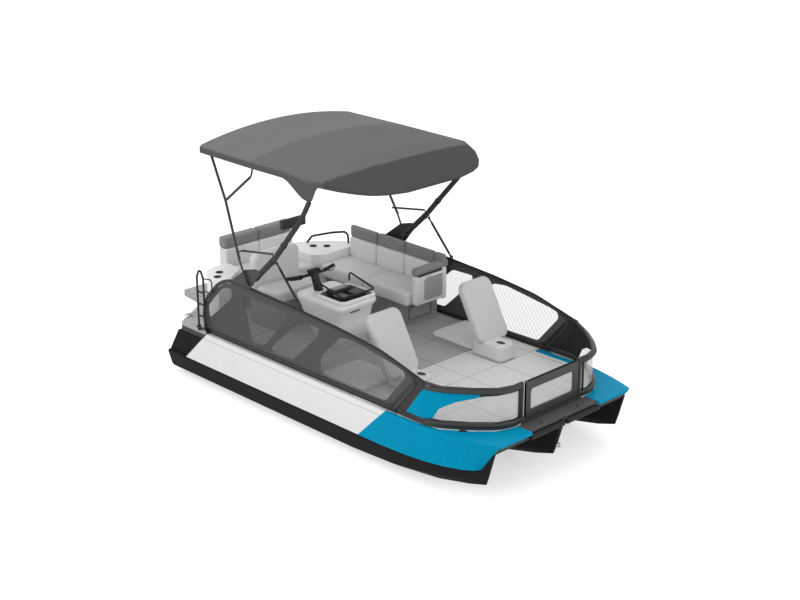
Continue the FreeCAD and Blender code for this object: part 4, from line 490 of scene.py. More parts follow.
def flat_piece(name, outlines, half_thick, place, material):
    """A flat plate filled between outlines, the first outside and the others holes; place
    turns its (u, v, w) coordinates into the boat's."""
    curve = bpy.data.curves.new(name, "CURVE")
    curve.dimensions = "2D"
    curve.fill_mode = "BOTH"
    curve.extrude = half_thick
    for outline in outlines:
        spline = curve.splines.new("POLY")
        spline.points.add(len(outline) - 1)
        spline.points.foreach_set("co", np.c_[outline, np.zeros(len(outline)),
                                              np.ones(len(outline))].reshape(-1))
        spline.use_cyclic_u = True
    holder = bpy.data.objects.new(name, curve)
    scene.collection.objects.link(holder)
    mesh = bpy.data.meshes.new_from_object(holder)
    bpy.data.objects.remove(holder)
    flat = np.empty(len(mesh.vertices) * 3)
    mesh.vertices.foreach_get("co", flat)
    mesh.vertices.foreach_set("co", place(flat.reshape(-1, 3)).reshape(-1))
    mesh.update()
    thing = bpy.data.objects.new(name, mesh)
    scene.collection.objects.link(thing)
    close_and_face_out(thing)
    mesh.materials.append(material)
    return thing


def on_fence(side):
    """The placing of one side's fence: (u, v, w) become x and z on its plane and w across."""
    return lambda points: np.c_[points[:, 0], side * FENCE_Y + points[:, 2], points[:, 1]]


def see_through(name, thread, between, on_thread, band_mm=24.0):
    """Open vinyl mesh: slanting wave bands, with gaps as wide, are the threads. The alpha is
    between in the holes, and rises by on_thread over the upper 0.7 of the wave. The real
    pitch of 1.5 mm is too fine to show, so it is drawn about 30 times as coarse."""
    made, tree, out = blank_material(name)
    place = add_node(tree, "TexCoord").outputs["Object"]
    slant = add_node(tree, "Mapping", {"Vector": place, "Rotation": (0.0, math.radians(38), 0.0)})
    lines = add_node(tree, "TexWave", {"Vector": slant.outputs[0], "Scale": BAND_MM / band_mm},
                     bands_direction="X")
    solid = add_node(tree, "MapRange", {"Value": lines.outputs["Fac"], "From Min": 0.3,
                                        "From Max": 1.0, "To Min": between,
                                        "To Max": between + on_thread})
    shader = add_node(tree, "BsdfPrincipled", {
        "Base Color": linear(thread), "Roughness": 0.6, "Alpha": solid.outputs["Result"]})
    tree.links.new(shader.outputs[0], out.inputs["Surface"])
    return made


# Vinyl-coated polyester: dark grey and dull, its weave just breaks the surface
fence_fabric = woven("dark coated fence fabric", "#444445", "#4C4C4D", 5.0, 0.6)
cloth_edge = rounded_loop(set_in(FENCE_LINE, RAIL_HALF), CLOTH_CORNER)
openings = [rounded_loop(window, OPENING_CORNER) for window in FENCE_WINDOWS]
for side, side_name in SIDES:
    cloth = flat_piece("fence_cloth_" + side_name, [cloth_edge] + openings, CLOTH_HALF,
                       on_fence(side), fence_fabric)
    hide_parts("fence_panels")
    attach(cloth, "hull")
    # Each side's densities carry painted shade: starboard denser, port thinner than the one real
    # mesh
    between, on_thread, fine_between, fine_on_thread = MESH_DENSITY_AND_SHADE[side_name]
    window_mesh = see_through("see-through vinyl mesh, " + side_name, "#5E5E5E", between,
                              on_thread)
    plain_mesh = see_through("fine see-through vinyl mesh, " + side_name, "#5E5E5E",
                             fine_between, fine_on_thread)
    meshes = (plain_mesh, plain_mesh, plain_mesh, window_mesh)
    for number, (window, mesh_here) in enumerate(zip(FENCE_WINDOWS, meshes), 1):
        pane_line = rounded_loop(set_in(window, -SEWN_LAP), MESH_CORNER)
        pane = flat_piece(f"mesh_window_{side_name}_{number}", [pane_line], MESH_HALF,
                          on_fence(side), mesh_here)
        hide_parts("fence_mesh")
        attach(pane, "hull")

# ---- Bow screens and their panes: moulded screens between the bow rails, blue outside and
# black inside, with flexible clear vinyl panes welded in, here and in the gate ----
TOP_STRIP_X, TOP_STRIP_Z = 2.36, 0.925
LOW_STRIP_X, LOW_STRIP_Z = 1.96, 0.722
# Painted ABS: the blue of the fairings outside, black where it faces inwards, and dark
# framing on the strips over and under the pane
bow_skin, tree, out = blank_material("blue screen with a black lining")
place = add_node(tree, "TexCoord").outputs["Object"]
spot = add_node(tree, "SeparateXYZ", {"Vector": place})
way = add_node(tree, "SeparateXYZ",
               {"Vector": add_node(tree, "NewGeometry").outputs["True Normal"]})
side_sign = add_node(tree, "Math", {0: spot.outputs["Y"]}, operation="SIGN")
sideways = add_node(tree, "Math", {0: way.outputs["Y"], 1: side_sign.outputs[0]},
                    operation="MULTIPLY")
outward = add_node(tree, "Math", {0: sideways.outputs[0], 1: way.outputs["X"]}, operation="ADD")
outside = add_node(tree, "Math", {0: outward.outputs[0], 1: 0.0}, operation="GREATER_THAN")
strips = []
for start_x, limit_z, over in ((TOP_STRIP_X, TOP_STRIP_Z, "GREATER_THAN"),
                               (LOW_STRIP_X, LOW_STRIP_Z, "LESS_THAN")):
    forward = add_node(tree, "Math", {0: spot.outputs["X"], 1: start_x},
                       operation="GREATER_THAN")
    level = add_node(tree, "Math", {0: spot.outputs["Z"], 1: limit_z}, operation=over)
    strips.append(add_node(tree, "Math", {0: forward.outputs[0], 1: level.outputs[0]},
                           operation="MULTIPLY").outputs[0])
framing = add_node(tree, "Math", {0: strips[0], 1: strips[1]}, operation="MAXIMUM")
blue_part = add_node(tree, "Math", {0: outside.outputs[0], 1: framing.outputs[0]},
                     operation="SUBTRACT", use_clamp=True)
drift = add_node(tree, "TexNoise", {"Vector": place, "Scale": 3.0})
blue_tone = add_node(tree, "MixRGB", {"Fac": drift.outputs["Fac"], "Color1": linear("#0088AE"),
                                      "Color2": linear("#0090B6")})
paint = add_node(tree, "MixRGB", {"Fac": blue_part.outputs[0], "Color1": linear("#29292A"),
                                  "Color2": blue_tone.outputs["Color"]})
grain = add_node(tree, "Bump", {"Height": drift.outputs["Fac"], "Distance": 0.0002})
skin = add_node(tree, "BsdfPrincipled", {"Base Color": paint.outputs["Color"], "Roughness": 0.38,
                                         "Normal": grain.outputs["Normal"],
                                         "Specular IOR Level": 0.03})
tree.links.new(skin.outputs[0], out.inputs["Surface"])
dress(bow_skin, "bow_screens")
# Clear vinyl: almost gone to the eye, but hazy and rippled over about 140 mm, so that it
# bends what is behind it and catches the lamps in patches
pane_vinyl, tree, out = blank_material("clear vinyl pane")
place = add_node(tree, "TexCoord").outputs["Object"]
waves = add_node(tree, "TexNoise", {"Vector": place, "Scale": 7.0, "Detail": 2.0})
ripple = add_node(tree, "Bump", {"Height": waves.outputs["Fac"], "Distance": 0.003})
haze = add_node(tree, "MapRange", {"Value": waves.outputs["Fac"], "To Min": 0.22, "To Max": 0.34})
pane_shader = add_node(tree, "BsdfPrincipled", {
    "Base Color": linear("#B9B9B9"), "Roughness": 0.15, "Alpha": haze.outputs["Result"],
    "Normal": ripple.outputs["Normal"]})
tree.links.new(pane_shader.outputs[0], out.inputs["Surface"])
dress(pane_vinyl, "gate_screen", "bow_windows")

# ---- Port lounge: two seat cushions and a back of three bays and a short end one, foam cut
# to shape under sewn vinyl. Each bay is a pale pad under a darker grey bolster ----
GRID_STEP = 0.03
SEAM_HALF, SEAM_DEEP = 0.006, 0.006
SEAT_FLOOR_Z, SEAT_TALL = 0.902, 0.150
PORT_SEAT_Y, PORT_SEAT_DEEP = 0.719, 0.456
PORT_SEATS = ((-1.402, -0.692), (-0.688, 0.018))
PORT_BACKS = ((-1.402, -0.952), (-0.942, -0.494), (-0.484, -0.034), (-0.024, 0.122))
PORT_BACK_Y, PORT_PAD_Z, PORT_ROLL_Z = 1.023, 1.093, 1.352
LEVEL = ((1, 0, 0), (0, 1, 0), (0, 0, 1))
FACING_INBOARD = ((1, 0, 0), (0, 0, 1), (0, -1, 0))


def clustered(low, high, lines):
    """Grid places from low to high, evenly spaced, with extra ones round each seam line."""
    places = list(np.linspace(low, high, max(3, int(round((high - low) / GRID_STEP)) + 1)))
    for line in lines:
        for offset in (0.0, 0.003, 0.007, 0.012, 0.018):
            places += [line - offset, line + offset]
    places = np.unique(np.round([p for p in places if low <= p <= high], 5))
    return places[np.r_[True, np.diff(places) > 0.0012]]


def box_shell(lines_a, lines_b, lines_c):
    """The six faces of a box as grids on these lines, welded into one closed surface."""
    sets = []
    for fixed, first, second, ends in ((2, lines_a, lines_b, lines_c),
                                       (1, lines_a, lines_c, lines_b),
                                       (0, lines_b, lines_c, lines_a)):
        one, two = np.meshgrid(first, second, indexing="ij")
        for end in (0, -1):
            sheet = [one, two]
            sheet.insert(fixed, np.full_like(one, ends[end]))
            faces = grid_faces(*one.shape)
            flipped = (end == -1) == (fixed == 1)
            sets.append((np.stack(sheet, -1).reshape(-1, 3),
                         faces if flipped else faces[:, ::-1]))
    points = np.concatenate([s[0] for s in sets])
    offset = np.cumsum([0] + [len(s[0]) for s in sets[:-1]])
    faces = np.concatenate([s[1] + o for s, o in zip(sets, offset)])
    _, first_of, back = np.unique(np.round(points, 5), axis=0, return_index=True,
                                  return_inverse=True)
    return points[first_of], back.reshape(-1)[faces]


def stuffed(size, base, axes, paint=0, edge=0.018, corner=0.03, crown=0.010, pull=0.004,
            seams_a=(), seams_b=(), taper=0.0):
    """A foam block of this size, centred on its base: a box whose edges are rounded by edge
    and upright corners by corner. Its top is raised by crown times the square root of
    (1 - (2a/A)^2)(1 - (2b/B)^2), its sides swell by half of crown at mid height and are
    pulled in by pull between the corners, each seam line cuts a groove of Gaussian section,
    and taper draws in its top. It is turned onto the axes at the base point. Returns points,
    faces and paint."""
    width, depth, tall = size
    near = edge * 0.6
    points, faces = box_shell(
        clustered(-width / 2, width / 2, (*seams_a, -width / 2 + near, width / 2 - near)),
        clustered(-depth / 2, depth / 2, (*seams_b, -depth / 2 + near, depth / 2 - near)),
        clustered(0.0, tall, (near, tall - near)))
    half_size = np.array([width / 2, depth / 2, tall / 2])
    centred = points - np.array([0.0, 0.0, tall / 2])
    inner = np.clip(centred, -(half_size - edge), half_size - edge)
    out_way = centred - inner
    length = np.linalg.norm(out_way, axis=1, keepdims=True)
    normal = out_way / np.maximum(length, 1e-9)
    round_box = inner + normal * np.where(length > 0, edge, 0.0)
    plan = round_box[:, :2]
    limit = half_size[:2] - corner
    past = np.maximum(np.abs(plan) - limit, 0.0)
    in_corner = (past > 0).all(axis=1)
    reach = past.max(axis=1) / np.maximum(np.linalg.norm(past, axis=1), 1e-9)
    scale = np.where(in_corner, reach, 1.0)[:, None]
    plan = np.sign(plan) * (np.minimum(np.abs(plan), limit) + past * scale)
    a, b, c = round_box.T
    bow_a, bow_b, bow_c = (np.clip(1 - (2 * v / full) ** 2, 0, 1)
                           for v, full in ((a, width), (b, depth), (c, tall)))
    top = np.clip(normal[:, 2], 0, 1)
    side_a, side_b = np.abs(normal[:, 0]), np.abs(normal[:, 1])
    moved = np.c_[plan, c]
    moved[:, 0] += np.sign(a) * side_a * (crown * 0.5 * bow_c - pull * bow_b)
    moved[:, 1] += np.sign(b) * side_b * (crown * 0.5 * bow_c - pull * bow_a)
    cut = np.zeros(len(a))
    for line in seams_a:
        cut += np.exp(-((a - line) / SEAM_HALF) ** 2)
    for line in seams_b:
        cut += np.exp(-((b - line) / SEAM_HALF) ** 2) * top
    upper = np.clip(top + side_b * (c > -tall / 2 + 2 * edge), 0, 1)
    moved -= normal * (SEAM_DEEP * np.clip(cut, 0, 1) * upper)[:, None]
    moved[:, 2] += crown * np.sqrt(bow_a * bow_b) * top + tall / 2
    moved[:, :2] *= 1 - (moved[:, 2] / tall)[:, None] * taper
    return np.asarray(base) + moved @ np.asarray(axes, float), faces, paint


def joined_piece(name, parts, materials, smooth=True):
    """One object from parts of points, faces and the number of their material: its double
    points are merged, its faces turned outwards, and it is shaded smooth or left flat."""
    points = np.concatenate([p[0] for p in parts])
    offset = np.cumsum([0] + [len(p[0]) for p in parts[:-1]])
    faces = [tuple(int(i) + int(o) for i in f) for p, o in zip(parts, offset) for f in p[1]]
    thing = make_mesh(name, points, faces)
    for material in materials:
        thing.data.materials.append(material)
    numbers = np.concatenate([np.full(len(p[1]), p[2]) for p in parts])
    thing.data.polygons.foreach_set("material_index", numbers.astype(int))
    close_and_face_out(thing)
    if smooth:
        thing.data.shade_smooth()
    return thing


# Marine vinyl: calendered with a 3 mm leather grain, it has a soft sheen that follows the
# crowned foam. The bolsters are a darker roll of the same cloth
vinyl = grained("pale grey marine vinyl", "#DCDCDC", "#D5D5D5", 0.48, 3.0, 0.15, 400.0)
vinyl_dark = grained("mid grey marine vinyl", "#7A7A7A", "#828282", 0.5, 3.0, 0.15, 400.0)
port_seat = joined_piece("port_seat_cushion", [
    stuffed((high_x - low_x, PORT_SEAT_DEEP, SEAT_TALL),
            ((low_x + high_x) / 2, PORT_SEAT_Y, SEAT_FLOOR_Z), LEVEL, edge=0.028, crown=0.008,
            seams_b=(-0.02, -0.175)) for low_x, high_x in PORT_SEATS], [vinyl])
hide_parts("port_cushion")
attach(port_seat, "hull")
back_parts = []
for low_x, high_x in PORT_BACKS:
    wide, mid = high_x - low_x, (low_x + high_x) / 2
    back_parts.append(stuffed((wide, 0.375, 0.070), (mid, PORT_BACK_Y, PORT_PAD_Z),
                              FACING_INBOARD, edge=0.022, corner=0.02, pull=0.002))
    back_parts.append(stuffed((wide, 0.135, 0.056), (mid, PORT_BACK_Y, PORT_ROLL_Z),
                              FACING_INBOARD, 1, edge=0.024, corner=0.02, crown=0.008,
                              pull=0.001))
port_back = joined_piece("port_back_cushions", back_parts, [vinyl, vinyl_dark])
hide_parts("port_backrest")
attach(port_back, "hull")

# ---- Stern lounge: two seat cushions across the boat with a back in two bays behind them,
# of the same foam and vinyl, on the same base ----
STERN_SEATS = ((-0.363, 0.036), (0.040, 0.442))
STERN_BACKS = ((-0.363, 0.138), (0.144, 0.648))
STERN_SEAT_X, STERN_SEAT_DEEP = -1.750, 0.616
STERN_BACK_X, STERN_PAD_Z, STERN_ROLL_Z = -2.198, 0.958, 1.333
FACING_FORWARD = ((0, 1, 0), (0, 0, 1), (1, 0, 0))
stern_seat = joined_piece("stern_seat_cushion", [
    stuffed((STERN_SEAT_DEEP, high_y - low_y, SEAT_TALL),
            (STERN_SEAT_X, (low_y + high_y) / 2, SEAT_FLOOR_Z), LEVEL, edge=0.028, crown=0.008,
            seams_a=(0.07,)) for low_y, high_y in STERN_SEATS], [vinyl])
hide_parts("stern_cushion")
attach(stern_seat, "hull")
stern_back_parts = []
for low_y, high_y in STERN_BACKS:
    wide, mid = high_y - low_y, (low_y + high_y) / 2
    stern_back_parts.append(stuffed((wide, 0.612, 0.134), (STERN_BACK_X, mid, STERN_PAD_Z),
                                    FACING_FORWARD, edge=0.024, corner=0.02, crown=0.008,
                                    pull=0.002))
    stern_back_parts.append(stuffed((wide, 0.130, 0.122), (STERN_BACK_X, mid, STERN_ROLL_Z),
                                    FACING_FORWARD, 1, edge=0.026, corner=0.02, crown=0.008,
                                    pull=0.001))
stern_back = joined_piece("stern_back_cushions", stern_back_parts, [vinyl, vinyl_dark])
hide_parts("stern_backrest")
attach(stern_back, "hull")

# ---- Armrest: an upholstered panel screwed to the lounge's forward end, with an inset in a
# darker vinyl that paints the shade under the roll, and a grey roll of foam along its top ----
ROLL_X, ROLL_Z, ROLL_RADIUS = 0.072, 1.298, 0.050
ROLL_AFT_Y, ROLL_OUT_Y, ROLL_RISE = 0.580, 1.030, 0.02


def capped(rings, around):
    """Faces of a tube of that many rings, each with that many points, closed at both ends."""
    faces = [tuple(f) for f in grid_faces(rings, around, closed=True)]
    last = around * (rings - 1)
    return faces + [tuple(range(around))[::-1], tuple(range(last, last + around))]


def bar(path, radius, sides=16, paint=0):
    """A round bar: circles of the radius at right angles to the path's points, with the
    turning frame carried along it, and its ends drawn in to a dome."""
    path = np.asarray(path, float)
    radius = np.broadcast_to(np.asarray(radius, float), len(path)).copy()
    first, last = path[1] - path[0], path[-1] - path[-2]
    first, last = first / np.linalg.norm(first), last / np.linalg.norm(last)
    bend = np.radians([85, 60, 30])
    head = path[0] - first * (np.sin(bend) * radius[0])[:, None] * 0.8
    tail = path[-1] + last * (np.sin(bend[::-1]) * radius[-1])[:, None] * 0.8
    path = np.concatenate([head, path, tail])
    radius = np.concatenate([np.cos(bend) * radius[0], radius, np.cos(bend[::-1]) * radius[-1]])
    run = np.gradient(path, axis=0)
    run /= np.linalg.norm(run, axis=1, keepdims=True)
    side = np.cross(run[0], (0.0, 0.0, 1.0) if abs(run[0][2]) < 0.9 else (1.0, 0.0, 0.0))
    sides_at = []
    for step_way in run:
        side = side - step_way * side.dot(step_way)
        side = side / np.linalg.norm(side)
        sides_at.append(side)
    sides_at = np.array(sides_at)
    up = np.cross(run, sides_at)
    turn_at = np.linspace(0, 2 * np.pi, sides, endpoint=False)
    ring = (sides_at[:, None] * np.cos(turn_at)[None, :, None]
            + up[:, None] * np.sin(turn_at)[None, :, None])
    points = path[:, None] + ring * radius[:, None, None]
    return points.reshape(-1, 3), capped(len(path), sides), paint


# Vinyl in the shade of the roll: the same grain, a tone darker
vinyl_painted_shade = grained("shaded grey marine vinyl", "#9E9E9E", "#969696", 0.5, 3.0, 0.15, 400.0)
roll_y = np.linspace(ROLL_AFT_Y, ROLL_OUT_Y, 14)
roll_path = np.c_[np.full(14, ROLL_X), roll_y, ROLL_Z + (roll_y - ROLL_AFT_Y) * ROLL_RISE]
armrest_piece = joined_piece("armrest_upholstery", [
    stuffed((0.480, 0.350, 0.078), (0.024, 0.806, 1.081), FACING_FORWARD, crown=0.006,
            pull=0.002),
    stuffed((0.330, 0.250, 0.016), (0.100, 0.850, 1.080), FACING_FORWARD, 2, edge=0.007,
            crown=0.004, pull=0.0),
    bar(roll_path, ROLL_RADIUS, 24, 1)], [vinyl, vinyl_dark, vinyl_painted_shade])
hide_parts("armrest")
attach(armrest_piece, "hull")

# ---- Helm seat: a deep foam cushion and an upright back under sewn vinyl, screwed to their
# moulded base ----
helm_cushion = joined_piece("helm_seat_cushion", [
    stuffed((0.371, 0.656, 0.132), (-1.068, -0.270, 0.961), LEVEL, edge=0.030, corner=0.05,
            crown=0.008, seams_a=(0.08,))], [vinyl])
helm_back = joined_piece("helm_back_cushion", [
    stuffed((0.656, 0.490, 0.098), (-1.357, -0.270, 1.207), FACING_FORWARD, edge=0.030,
            corner=0.09, seams_a=(-0.20, 0.20))], [vinyl])
for pad_piece, node_name in ((helm_cushion, "helm_cushion"), (helm_back, "helm_backrest")):
    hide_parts(node_name)
    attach(pad_piece, "hull")

# ---- Bow seats: on each side a flat foam pad on the deck, a low moulded block screwed down
# forward of it, and a leaning round-topped back between the two ----
DECK_TOP = 0.6465
BACK_RUN = np.array([-0.34, 0.0, 0.62])
BACK_FOOT = (1.195, 0.670, 0.812)
BACK_TALL, BACK_SET_AFT = 0.690, 0.085
back_up = BACK_RUN / np.linalg.norm(BACK_RUN)
back_out = np.array([back_up[2], 0.0, -back_up[0]])
# The same vinyl, a tone darker where the backs lean away from the lamps, and a hard satin
# moulding under it for the blocks
vinyl_bow = grained("pale grey marine vinyl on the bow backs", "#C2C2C2", "#BBBBBB", 0.48, 3.0,
                    0.15, 400.0)
block_moulding = grained("pale moulded block", "#D0D0D0", "#C8C8C8", 0.4, 2.0, 0.1, 300.0)
pads, backs, blocks = [], [], []
for side in (-1.0, 1.0):
    pads.append(stuffed((0.596, 0.536, 0.050), (0.660, side * 0.810, 0.647), LEVEL, edge=0.016,
                        corner=0.05, crown=0.003))
    foot = (np.array(BACK_FOOT) * (1.0, side, 1.0) - back_out * BACK_SET_AFT
            + back_up * (BACK_TALL / 2 - 0.010))
    backs.append(stuffed((0.440, BACK_TALL, 0.090), foot, ((0, 1, 0), back_up, back_out),
                         edge=0.026, corner=0.10, crown=0.008, pull=0.002))
    blocks.append(stuffed((0.456, 0.270, 0.183), (1.210, side * 0.617, DECK_TOP), LEVEL,
                          edge=0.038, corner=0.07, crown=0.0, pull=0.0, taper=0.10))
for name, parts, cover, node_name in (
        ("bow_flat_pads", pads, vinyl, "bow_seat_pads"),
        ("bow_back_cushions", backs, vinyl_bow, "bow_backrests")):
    piece = joined_piece(name, parts, [cover])
    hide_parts(node_name)
    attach(piece, "hull")
block_piece = joined_piece("bow_seat_mouldings", blocks, [block_moulding])
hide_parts("bow_seat_blocks")
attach(block_piece, "hull")

# ---- Bow step: a ribbed aluminium plate bolted across the bows, with two round latch heads
# in it and a black latch bar in the middle of the bumper ----
LATCH_PROFILE = np.array([(0.7, 1.0), (0.91, 0.85), (1.0, 0.55), (1.0, 0.0)])
# Coated extrusion: dark satin, with ribs for grip that break its sheen into stripes. They
# are drawn 22 mm wide with gaps as wide, coarser than real ones, so that they show
step_plate = grained("ribbed dark step plate", "#474646", "#504F4F", 0.55, 2.0, 0.1)
tree = step_plate.node_tree
shader = next(n for n in tree.nodes if n.type == "BSDF_PRINCIPLED")
ribs = add_node(tree, "TexWave", {"Vector": add_node(tree, "TexCoord").outputs["Object"],
                                  "Scale": BAND_MM / 22.0}, bands_direction="X")
rib_bump = add_node(tree, "Bump", {"Height": ribs.outputs["Fac"], "Distance": 0.003})
tree.links.new(rib_bump.outputs["Normal"], shader.inputs["Normal"])
dress(step_plate, "bow_step")


def ring_stack(centre, profile, sides, paint=0):
    """A turned shape: circles of the profile's radii at its heights about an upright axis,
    closed by a flat face at both ends."""
    profile = np.asarray(profile, float)
    turn_at = np.linspace(0, 2 * np.pi, sides, endpoint=False)
    ring = np.stack([np.cos(turn_at), np.sin(turn_at), np.zeros(sides)], -1)
    points = np.array(centre) + ring[None] * profile[:, 0][:, None, None]
    points[:, :, 2] += profile[:, 1][:, None]
    return points.reshape(-1, 3), capped(len(profile), sides), paint


latch_parts = [ring_stack((2.645, y, 0.632), LATCH_PROFILE * (0.014, 0.004), 24)
               for y in (-0.27, 0.27)]
latch_parts.append(bar([(2.712, -0.03, 0.606), (2.712, 0.03, 0.606)], 0.012, 12))
step_latches = joined_piece("step_latches", latch_parts, [black_trim])
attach(step_latches, "hull")

# ---- Helm console: a one-piece gelcoated moulding, screwed down through its foot. It flares
# out as it rises, most of all towards the helm seat, to a rolled upper rim ----
CONSOLE_LOOPS = (  # height, aft x, fore x, starboard y, port y
    (DECK_TOP, -0.450, -0.060, -0.470, 0.020), (0.900, -0.570, -0.025, -0.495, 0.025),
    (1.060, -0.660, 0.012, -0.510, 0.034), (1.100, -0.684, 0.048, -0.518, 0.044),
    (1.138, -0.688, 0.056, -0.520, 0.046), (1.154, -0.680, 0.050, -0.512, 0.040),
    (1.160, -0.662, 0.034, -0.496, 0.024))
CONSOLE_CORNER, CORNER_STEPS = 0.09, 8
AROUND = 4 * CORNER_STEPS
console_rings = [np.c_[rounded_loop([(aft, star), (fore, star), (fore, port), (aft, port)],
                                    CONSOLE_CORNER, CORNER_STEPS), np.full(AROUND, z)]
                 for z, aft, fore, star, port in CONSOLE_LOOPS]
console_body = joined_piece("helm_console", [
    (np.concatenate(console_rings), capped(len(console_rings), AROUND), 0)], [console_moulding])
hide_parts("console")
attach(console_body, "hull")

# ---- Instrument pod: a moulded rim on the console's top round a brown-grey bowl, dropped in
# and clipped, with three instrument boxes standing in it ----
POD_PLAN = [(-0.415, -0.470), (0.042, -0.470), (0.042, 0.036), (-0.415, 0.036)]
POD_CORNER = 0.07
RIM_SECTION = [(0.0, 1.1605), (-0.002, 1.184), (0.004, 1.199), (0.014, 1.204), (0.024, 1.199),
               (0.027, 1.1605)]  # inset from the plan, height
BOWL_SECTION = [(0.0275, 1.1615), (0.0275, 1.1905), (0.033, 1.1905), (0.060, 1.172),
                (0.078, 1.168)]
BOX_FLOOR_Z = 1.168
GAUGE_BOXES = (((-0.300, -0.215), (0.12, 0.26, 0.056)), ((-0.150, -0.310), (0.15, 0.14, 0.036)),
               ((-0.120, -0.120), (0.16, 0.15, 0.044)))


def pod_rings(section):
    """Rings of the pod's plan, each set in by an inset and lifted to a height."""
    return np.concatenate([
        np.c_[rounded_loop(set_in(POD_PLAN, inset), POD_CORNER, CORNER_STEPS),
              np.full(AROUND, z)] for inset, z in section])


# Instrument plastic: near black and satin. Bowl lining: brown-grey, smooth and half gloss.
# Display glass: black under a clear coat, so it mirrors the white studio
pod_plastic = grained("dark moulded instrument pod", "#252424", "#302E2D", 0.4, 1.5, 0.1)
bowl_plastic = grained("brown-grey tray lining", "#4A413C", "#3A3431", 0.35, 3.0, 0.2)
glass_black = grained("black display glass", "#0A0A0B", "#101012", 0.12, 30.0, 0.02, coat=0.5)
rim_faces = [tuple(f) for f in grid_faces(len(RIM_SECTION), AROUND, closed=True)]
last = AROUND * (len(RIM_SECTION) - 1)
rim_faces += [(last + i, last + (i + 1) % AROUND, (i + 1) % AROUND, i) for i in range(AROUND)]
pod_piece = joined_piece("helm_pod", [
    (pod_rings(RIM_SECTION), rim_faces, 0),
    (pod_rings(BOWL_SECTION), capped(len(BOWL_SECTION), AROUND), 1)],
    [console_moulding, bowl_plastic])
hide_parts("dash_tray")
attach(pod_piece, "hull")
gauge_parts = [stuffed(size, (*spot_at, BOX_FLOOR_Z), LEVEL, edge=0.010, corner=0.018,
                       crown=0.002, pull=0.0) for spot_at, size in GAUGE_BOXES]
gauge_parts.append(stuffed((0.085, 0.19, 0.006), (-0.300, -0.215, 1.224), LEVEL, 1,
                           edge=0.0025, corner=0.010, crown=0.0, pull=0.0))
helm_gauges = joined_piece("helm_gauges", gauge_parts, [pod_plastic, glass_black])
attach(helm_gauges, "hull")

# ---- Deck sills: dark extruded aluminium bars screwed down where the deck meets the side
# fences and bow screens, with a bright metal strip along the inner side of each ----
BOW_LINE = np.array([(1.575, 1.132), (1.930, 1.132), (2.081, 1.075), (2.321, 0.893),
                     (2.490, 0.722), (2.546, 0.560), (2.533, 0.452)])
BOW_BEND = 0.09
STRIP_NEAR, STRIP_FAR = 0.0125, 0.0150


def rounded_path(corners, radius, steps=9):
    """An open line through the corners, each inner one rounded by a quadratic curve that
    starts and ends the radius away from it, at most 0.45 of the shorter run."""
    corners = np.asarray(corners, float)
    share = np.linspace(0.0, 1.0, steps)[:, None]
    pieces = [corners[:1]]
    for before, here, after in zip(corners[:-2], corners[1:-1], corners[2:]):
        run_in, run_out = before - here, after - here
        cut = min(radius, 0.45 * np.linalg.norm(run_in), 0.45 * np.linalg.norm(run_out))
        first = here + run_in / np.linalg.norm(run_in) * cut
        last = here + run_out / np.linalg.norm(run_out) * cut
        pieces.append((1 - share) ** 2 * first + 2 * share * (1 - share) * here
                      + share ** 2 * last)
    pieces.append(corners[-1:])
    return np.concatenate(pieces)


def plan_strip(line, across, low, high):
    """A bar of rectangular section with small chamfers, carried along a level line; across is
    its inner and outer distance from the line, measured to the left of the way it runs."""
    line = np.asarray(line, float)
    run = np.gradient(line, axis=0)
    run /= np.linalg.norm(run, axis=1, keepdims=True)
    left = np.c_[-run[:, 1], run[:, 0]]
    inner, outer = across
    cut = 0.2 * min(abs(outer - inner), high - low)
    section = np.array([(inner, low), (outer, low), (outer, high - cut), (outer - cut, high),
                        (inner + cut, high), (inner, high - cut)])
    plan = line[:, None] + left[:, None] * section[None, :, :1]
    height = np.broadcast_to(section[None, :, 1:], plan.shape[:2] + (1,))
    points = np.concatenate([plan, height], axis=-1)
    return points.reshape(-1, 3), capped(len(line), len(section)), 0


# Anodised extrusion: dark with a dull sheen. Brushed strip: pale bare metal that catches a
# thin bright line of light
trim_coat = grained("dark extruded aluminium sill", "#2B2A2A", "#353333", 0.45, 1.5, 0.05)
bright_strip = grained("brushed rub strip", "#A8A8A8", "#B6B6B6", 0.3, 20.0, 0.02, metallic=1.0)
sill_parts, strip_parts = [], []
for side, _ in SIDES:
    sill_parts.append(plan_strip([(-1.460, side * FENCE_Y), (1.560, side * FENCE_Y)],
                                 (-0.0165, 0.0165), DECK_TOP, 0.662))
    sill_parts.append(plan_strip(rounded_path(BOW_LINE * (1.0, side), BOW_BEND),
                                 (-0.012, 0.012), DECK_TOP, 0.6765))
    strip_parts.append(plan_strip(
        rounded_path(BOW_LINE[:-1] * (1.0, side), BOW_BEND),
        (-STRIP_FAR, -STRIP_NEAR) if side > 0 else (STRIP_NEAR, STRIP_FAR), 0.6468, 0.6560))
    strip_parts.append(plan_strip([(-1.460, side * 1.106), (1.600, side * 1.106)],
                                  (-0.005, 0.005), DECK_TOP, 0.6530))
deck_sills = joined_piece("deck_edge_sills", sill_parts, [trim_coat], smooth=False)
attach(deck_sills, "hull")
rub_strips = joined_piece("bow_rub_strips", strip_parts, [bright_strip], smooth=False)
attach(rub_strips, "hull")

# ---- Inner shelves: the blue fairing moulding carried inside the bow screens as a thin
# lipped plate beside the pale tiles, glued down on the deck's edge ----
SHELF_LINE = np.array([(1.440, 1.058), (1.700, 1.060), (1.900, 1.066), (1.990, 1.050)])
inner_shelves = joined_piece("bow_inner_shelves", [
    plan_strip(SHELF_LINE * (1.0, side), (-0.038, 0.038), DECK_TOP, 0.6505)
    for side, _ in SIDES], [blue_skin])
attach(inner_shelves, "hull")

